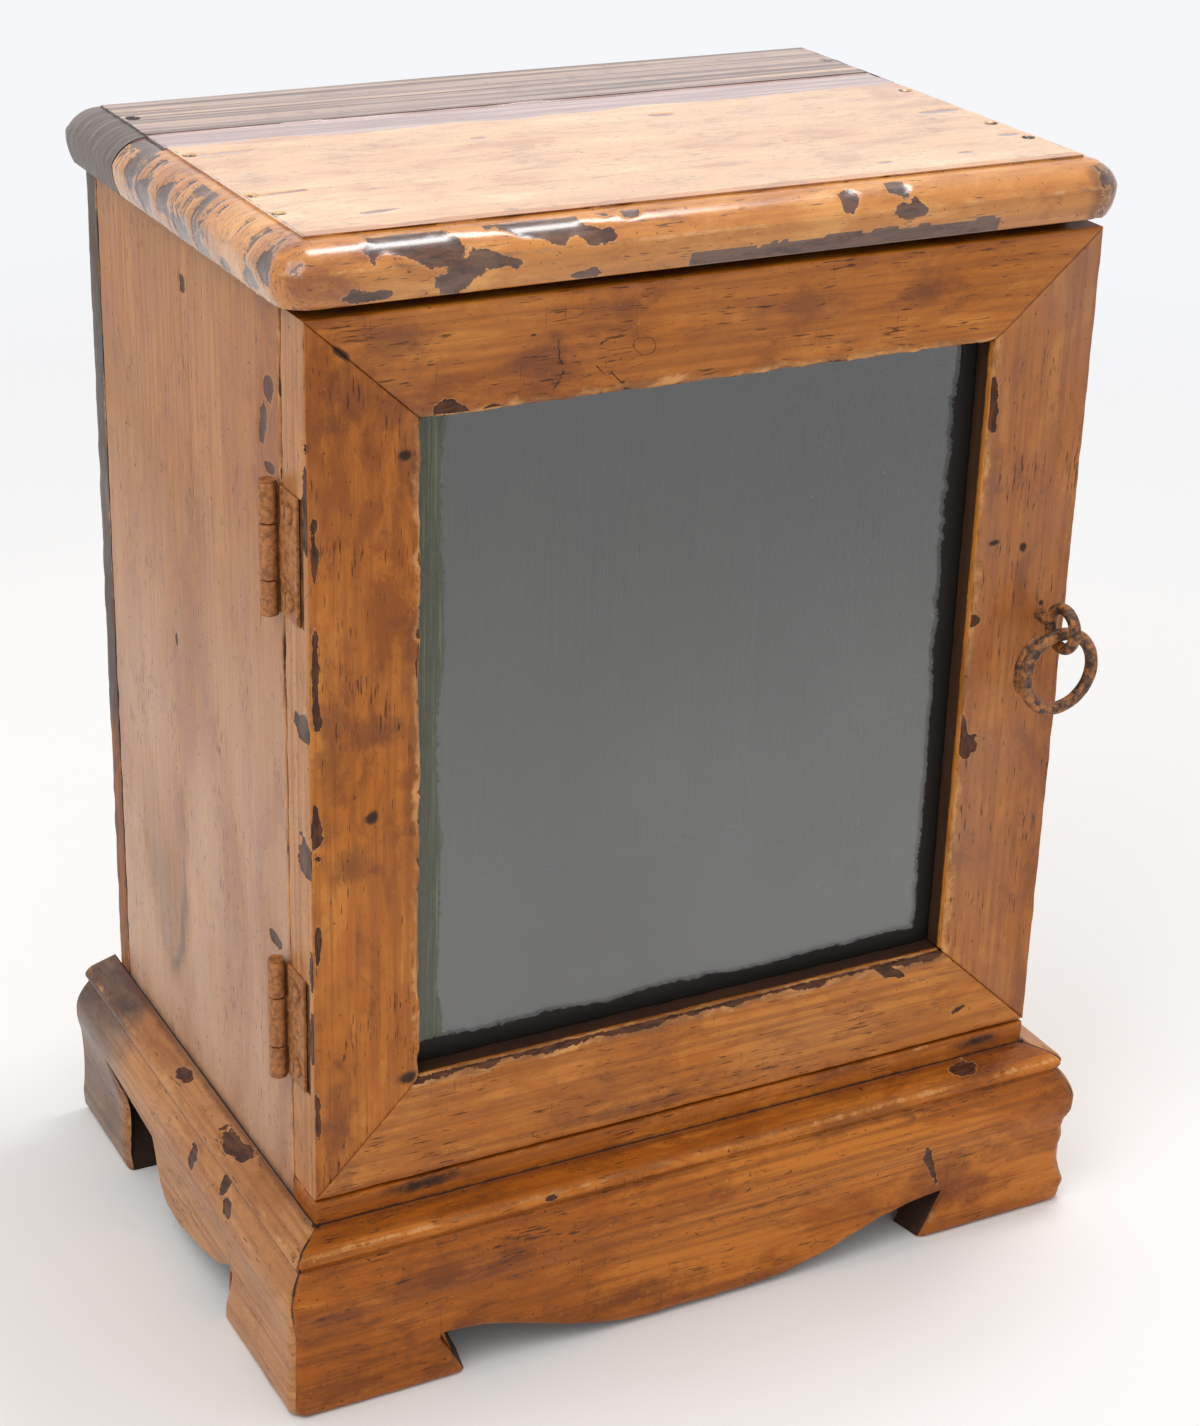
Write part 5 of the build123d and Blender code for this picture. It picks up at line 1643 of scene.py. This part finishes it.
def forged_rod(shell, path, radius, closed, seed, across):
    """Adds a rod: round each point of a path stands a circle, square to the path, whose radius is swollen
    and pinched by noise. An open rod's ends shrink to a point over one radius, and a closed one's last
    circle is its first."""
    around = np.linspace(0, 2 * math.pi, 25)
    heading = np.roll(path, -1, 0) - np.roll(path, 1, 0) if closed else np.gradient(path, axis=0)
    heading = heading / np.linalg.norm(heading, axis=1, keepdims=True)
    side = np.broadcast_to(np.asarray(across, float), path.shape)
    other = np.cross(heading, side)
    out = np.cos(around)[:, None] * side[:, None] + np.sin(around)[:, None] * other[:, None]
    grown = radius * (0.93 + 0.07 * rough_noise(path[:, None] + radius * out, 5.0, seed, 3))
    if not closed:
        from_end = np.minimum(np.arange(len(path)), np.arange(len(path))[::-1])
        grown = grown * np.array([0.0, 0.8, 0.97, 1.0])[np.minimum(from_end, 3)][:, None]
    points = path[:, None] + grown[..., None] * out
    points[:, -1] = points[:, 0]
    if closed:
        points = np.concatenate([points, points[:1]])
        out = np.concatenate([out, out[:1]])
    shell.add(points, out, 0.0)


def arc_path(centre, line, angles, flat_axis):
    """Points of a circle's arc in the plane that is square to one axis."""
    a, b = [axis for axis in range(3) if axis != flat_axis]
    path = np.tile(np.asarray(centre, float), (len(angles), 1))
    path[:, a] += line * np.cos(angles)
    path[:, b] += line * np.sin(angles)
    return path


def pull(looks):
    """Ring with its rod's tail behind it, and the eye of the split pin with its shank and legs."""
    iron = old_iron("worn_iron", looks, 0.62, 0.3, looks.iron_rust)
    ring_low, ring_high = node_box("pull_ring")
    whole = np.linspace(0, 2 * math.pi, 120, endpoint=False)
    tail = np.radians(np.linspace(*TAIL_SPAN_DEG, 40))
    plane_y = ring_low[1] + RING_ROD
    middle_z = ring_high[2] - RING_ROD - RING_LINE
    shell = Shell()
    ring = arc_path((EYE_X, plane_y, middle_z), RING_LINE, whole, 1)
    forged_rod(shell, ring, RING_ROD, True, 301, (0, 1, 0))
    overlap = arc_path((EYE_X, plane_y + TAIL_SET_BACK, middle_z), RING_LINE, tail, 1)
    forged_rod(shell, overlap, TAIL_ROD, False, 302, (0, 1, 0))
    make_piece("ring_rod", shell.close(), "ring", "pull_ring", iron, 80)
    shell = Shell()
    eye_y = EYE_LOW[1] + EYE_WIRE + EYE_LINE
    leg_y = EYE_HIGH[1] - LEG_RADIUS
    eye = arc_path((EYE_X, eye_y, EYE_Z), EYE_LINE, whole[::2], 0)
    shank = np.linspace((EYE_X, eye_y + EYE_LINE - 1, EYE_Z), (EYE_X, EYE_HIGH[1] - 0.6, EYE_Z), 20)
    legs = np.linspace((EYE_X, leg_y, EYE_LOW[2]), (EYE_X, leg_y, EYE_HIGH[2]), 24)
    forged_rod(shell, eye, EYE_WIRE, True, 303, (1, 0, 0))
    forged_rod(shell, shank, LEG_RADIUS, False, 304, (1, 0, 0))
    forged_rod(shell, legs, LEG_RADIUS, False, 305, (1, 0, 0))
    # Right side of the eye darker: painted shade
    shell.close().mark("soot_and_shade", np.clip(shell.normals[:, 0] - 0.2, 0, 0.8))
    make_piece("split_pin_eye", shell, "door", "pull_eye", iron, 80)


# Hinges: the heights of the knuckles' joints over the hinge's lower end, the gap in each, the radius of
# the barrel, and the leaves' thickness and half height
KNUCKLE_JOINTS = (11.8, 30.1)
KNUCKLE_GAP = 0.3
BARREL_RADIUS = 3.25
LEAF_THICKNESS = 1.6
LEAF_HALF = 20.75


def knuckle(shell, centre, low, high, seed):
    """Adds one knuckle of a hinge as an upright rod with soft, painted-over ends."""
    z = spaced(low, high, 0.7, (0, 0.06, 0.3))
    path = np.stack([np.full(len(z), centre[0]), np.full(len(z), centre[1]), z], axis=1)
    forged_rod(shell, path, BARREL_RADIUS, False, seed, (1, 0, 0))


def leaf_plate(shell, low, high, seed):
    """Adds a hinge's leaf, a plate with soft arrises and an uneven coat of paint."""
    plate = plank(low, high, 0.45, (0.7, 0.7, 0.7))
    shell.join(plate.sink(0.1 * (1 + plate.noise(6.0, seed))))


def finish_leaf(shell, axis, end, body, iron):
    """Closes a leaf, shades its barrel towards the door and into the corner behind it, and makes it."""
    shell.close()
    from_axis = shell.points[:, :2] - np.array(axis)
    on_barrel = np.hypot(*from_axis.T) < BARREL_RADIUS + 0.2
    shell.mark("soot_and_shade", np.clip((from_axis[:, 0] - 0.4) / 2.2, 0, 0.85), on_barrel)
    make_piece(f"{end}_{body}_leaf", shell, body, f"{end}_hinge_{body}_leaf", iron, 60)


def hinges(looks):
    """Both leaves of both hinges: a plate each, the outer knuckles on the case's and the middle one on
    the door's."""
    iron = old_iron("painted_iron", looks, 1.35, 0.0, looks.iron_rust)
    face = -HALF_WIDTH + LEAF_LET_IN - LEAF_THICKNESS
    for number, end in enumerate(("lower", "upper")):
        pin_low, pin_high = node_box(f"{end}_hinge_pin")
        low, high = node_box(f"{end}_hinge_case_leaf")
        door_y = DOOR_LEAVES[number][0][1]
        axis = ((pin_low[0] + pin_high[0]) / 2, (pin_low[1] + pin_high[1]) / 2)
        middle = (low[2] + high[2]) / 2
        bottom, top = middle - LEAF_HALF, middle + LEAF_HALF
        ends = [low[2] + joint + side * KNUCKLE_GAP / 2 for joint in KNUCKLE_JOINTS for side in (-1, 1)]
        shell = Shell()
        knuckle(shell, axis, low[2], ends[0], 401 + number)
        knuckle(shell, axis, ends[3], high[2], 411 + number)
        plate_high = (high[0], CASE_FRONT_Y + LEAF_THICKNESS, top)
        leaf_plate(shell, (axis[0] + 1, CASE_FRONT_Y, bottom), plate_high, 421 + number)
        finish_leaf(shell, axis, end, "case", iron)
        shell = Shell()
        knuckle(shell, axis, ends[1], ends[2], 431 + number)
        leaf_plate(shell, (face, door_y, bottom), (face + LEAF_THICKNESS, DOOR_BACK_Y, top), 441 + number)
        leaf_plate(shell, (face, DOOR_BACK_Y - 1, ends[1]), (face + 1.0, axis[1], ends[2]), 451 + number)
        finish_leaf(shell, axis, end, "door", iron)


# Studio


# Camera of the photograph, fitted to about thirty corners of the box, in m, degrees and pixels
CAMERA_PLACE = (-0.4442, -0.8386, 0.6203)
CAMERA_TURN_DEG = (65.516, -1.657, -27.526)
CAMERA_FOCAL_PX = 2911.0
PHOTO_LONG_SIDE_PX = 1426.0
SENSOR_MM = 36.0
# Background, the floor's two tones, where the floor fades out, and the world's strength
BACKGROUND = srgb(246, 247, 250)
FLOOR_DARK = srgb(234, 232, 230)
FLOOR_LIGHT = srgb(239, 238, 237)
FLOOR_FADE_M = (0.35, 1.5)
WORLD_LIGHT = 0.81
# Lamps, as (name, place and aim in m, two sizes in m, power in W)
LAMPS = (
    ("key_lamp", (-0.8, -0.45, 1.3), (0, 0, 0.2), (0.8, 0.8), 6.5),
    ("top_lamp", (0.32, 0.08, 1.5), (-0.1, 0, 0.35), (0.3, 0.5), 7.5),
)


def camera():
    """Camera at the photograph's place, with the lens that its perspective gives."""
    data = bpy.data.cameras.new("photo_camera")
    data.sensor_width = SENSOR_MM
    data.lens = SENSOR_MM * CAMERA_FOCAL_PX / PHOTO_LONG_SIDE_PX
    data.clip_start, data.clip_end = 0.02, 50.0
    view = new_object("photo_camera", data)
    view.location = CAMERA_PLACE
    view.rotation_euler = Euler([math.radians(a) for a in CAMERA_TURN_DEG], "XYZ")
    bpy.context.scene.camera = view


def soft_lamp(name, place, aim, size, power):
    """Rectangular area lamp at a place, turned to an aim."""
    data = bpy.data.lights.new(name, "AREA")
    data.shape = "RECTANGLE"
    data.size, data.size_y = size
    data.energy = power
    lamp = new_object(name, data)
    lamp.location = place
    heading = np.array(aim) - np.array(place)
    pitch = math.atan2(math.hypot(heading[0], heading[1]), -heading[2])
    lamp.rotation_euler = Euler((pitch, 0, math.atan2(-heading[0], heading[1])), "XYZ")


def background_rays(n):
    """1 for rays from the camera, a gloss or a glass, which see the pale background, and 0 for others."""
    rays = n.add("ShaderNodeLightPath").outputs
    seen = n.larger(rays["Is Camera Ray"], rays["Is Glossy Ray"])
    return n.larger(seen, rays["Is Transmission Ray"])


def studio_world():
    """World that lights the object softly, and that the camera, gloss and glass see as a pale room."""
    n = Nodes("studio", "worlds", "ShaderNodeOutputWorld")
    dim = n.add("ShaderNodeBackground", {"Color": (1, 1, 1, 1), "Strength": WORLD_LIGHT})
    bright = n.add("ShaderNodeBackground", {"Color": BACKGROUND, "Strength": 1.0})
    bpy.context.scene.world = n.finish(n.layered(background_rays(n), dim, bright))


def studio_floor():
    """Plain pale floor that keeps the object's shadow and fades into the background further out."""
    reach = bpy.context.scene.display_box_sizes.floor_reach
    mesh = bpy.data.meshes.new("studio_floor")
    corners = [(-reach, -reach, 0), (reach, -reach, 0), (reach, reach, 0), (-reach, reach, 0)]
    mesh.from_pydata(corners, [], [(0, 1, 2, 3)])
    n = Nodes("pale_floor")
    tone = n.mix(n.noise(n.place, 3.0, 4), FLOOR_DARK, FLOOR_LIGHT)
    near = n.surface(tone, 0.6, Specular_IOR_Level=0.2)
    far = n.add("ShaderNodeEmission", {"Color": BACKGROUND, "Strength": 1.0})
    distance = n.add("ShaderNodeVectorMath", {0: n.place}, operation="LENGTH").outputs["Value"]
    fade = n.times(n.rise(distance, *FLOOR_FADE_M), background_rays(n))
    mesh.materials.append(n.finish(n.layered(fade, near, far)))
    new_object("studio_floor", mesh)


# Operators


class DISPLAYBOX_OT_top(bpy.types.Operator):
    """Make the two nosed boards of the top"""

    bl_idname = "displaybox.top"
    bl_label = "Top boards"

    def execute(self, context):
        looks, _, paint = settings()
        front_board(looks, paint)
        rear_board(looks)
        return {"FINISHED"}


class DISPLAYBOX_OT_case(bpy.types.Operator):
    """Make the sides, the back, the floor and the sill"""

    bl_idname = "displaybox.case"
    bl_label = "Case boards"

    def execute(self, context):
        looks, wear, paint = settings()
        for side in (-1, 1):
            side_panel(side, looks, wear, paint)
        back_board(looks, wear)
        floor_and_sill(looks, wear)
        return {"FINISHED"}


class DISPLAYBOX_OT_plinth(bpy.types.Operator):
    """Make the three moulded boards of the plinth"""

    bl_idname = "displaybox.plinth"
    bl_label = "Plinth"

    def execute(self, context):
        plinth_boards(*settings())
        return {"FINISHED"}


class DISPLAYBOX_OT_door_frame(bpy.types.Operator):
    """Make the door's two stiles and two rails"""

    bl_idname = "displaybox.door_frame"
    bl_label = "Door frame"

    def execute(self, context):
        door_frame(*settings())
        return {"FINISHED"}


class DISPLAYBOX_OT_glazing(bpy.types.Operator):
    """Finish the pane and the beads that hold it"""

    bl_idname = "displaybox.glazing"
    bl_label = "Glazing"

    def execute(self, context):
        looks = settings()[0]
        carry_over(["door_glass"], old_glass("old_pane", looks))
        beads = [f"glazing_bead_{side}" for side in ("top", "bottom", "left", "right")]
        # Beads near black: dark wood, and painted shade behind the glass
        carry_over(beads, dark_and_shaded_inside("dark_and_shaded_beads", looks))
        return {"FINISHED"}


class DISPLAYBOX_OT_iron(bpy.types.Operator):
    """Finish the screws and the nails, and make the hinges and the ring pull"""

    bl_idname = "displaybox.iron"
    bl_label = "Iron"

    def execute(self, context):
        looks = settings()[0]
        screws = ["door_leaf_screws", "case_leaf_screws", "lower_hinge_pin", "upper_hinge_pin"]
        carry_over(screws, old_iron("painted_screws", looks, 1.3, 0.2, looks.iron_rust))
        nails = ["top_nails", "back_nails", "plinth_nails", "floor_nails", "mitre_nails", "bead_pins"]
        carry_over(nails, old_iron("rusty_nails", looks, -1.5, 0.7, looks.soot_and_shade))
        hinges(looks)
        pull(looks)
        return {"FINISHED"}


class DISPLAYBOX_OT_stage(bpy.types.Operator):
    """Make the floor, the lamps, the world and the camera"""

    bl_idname = "displaybox.stage"
    bl_label = "Studio"

    def execute(self, context):
        context.scene.view_settings.view_transform = "Standard"
        camera()
        studio_floor()
        studio_world()
        for lamp in LAMPS:
            soft_lamp(*lamp)
        return {"FINISHED"}


class DISPLAYBOX_PT_panel(bpy.types.Panel):
    """Steps that dress the display box, in order"""

    bl_idname = "DISPLAYBOX_PT_panel"
    bl_label = "Wooden display box"
    bl_space_type = "VIEW_3D"
    bl_region_type = "UI"
    bl_category = "Display Box"

    def draw(self, context):
        for operator in OPERATORS:
            self.layout.operator(operator.bl_idname)
        for group in (context.scene.display_box_sizes, context.scene.display_box_looks):
            for name in group.bl_rna.properties.keys():
                if name not in ("rna_type", "name"):
                    self.layout.prop(group, name)


OPERATORS = (
    DISPLAYBOX_OT_top,
    DISPLAYBOX_OT_case,
    DISPLAYBOX_OT_plinth,
    DISPLAYBOX_OT_door_frame,
    DISPLAYBOX_OT_glazing,
    DISPLAYBOX_OT_iron,
    DISPLAYBOX_OT_stage,
)
CLASSES = (DisplayBoxLooks, DisplayBoxSizes, *OPERATORS, DISPLAYBOX_PT_panel)


def register():
    for cls in CLASSES:
        bpy.utils.register_class(cls)
    bpy.types.Scene.display_box_looks = PointerProperty(type=DisplayBoxLooks)
    bpy.types.Scene.display_box_sizes = PointerProperty(type=DisplayBoxSizes)


def unregister():
    del bpy.types.Scene.display_box_sizes
    del bpy.types.Scene.display_box_looks
    for cls in reversed(CLASSES):
        bpy.utils.unregister_class(cls)


def main():
    register()
    for operator in OPERATORS:
        group, name = operator.bl_idname.split(".")
        getattr(getattr(bpy.ops, group), name)()
    bpy.context.view_layer.update()


if __name__ == "__main__":
    main()
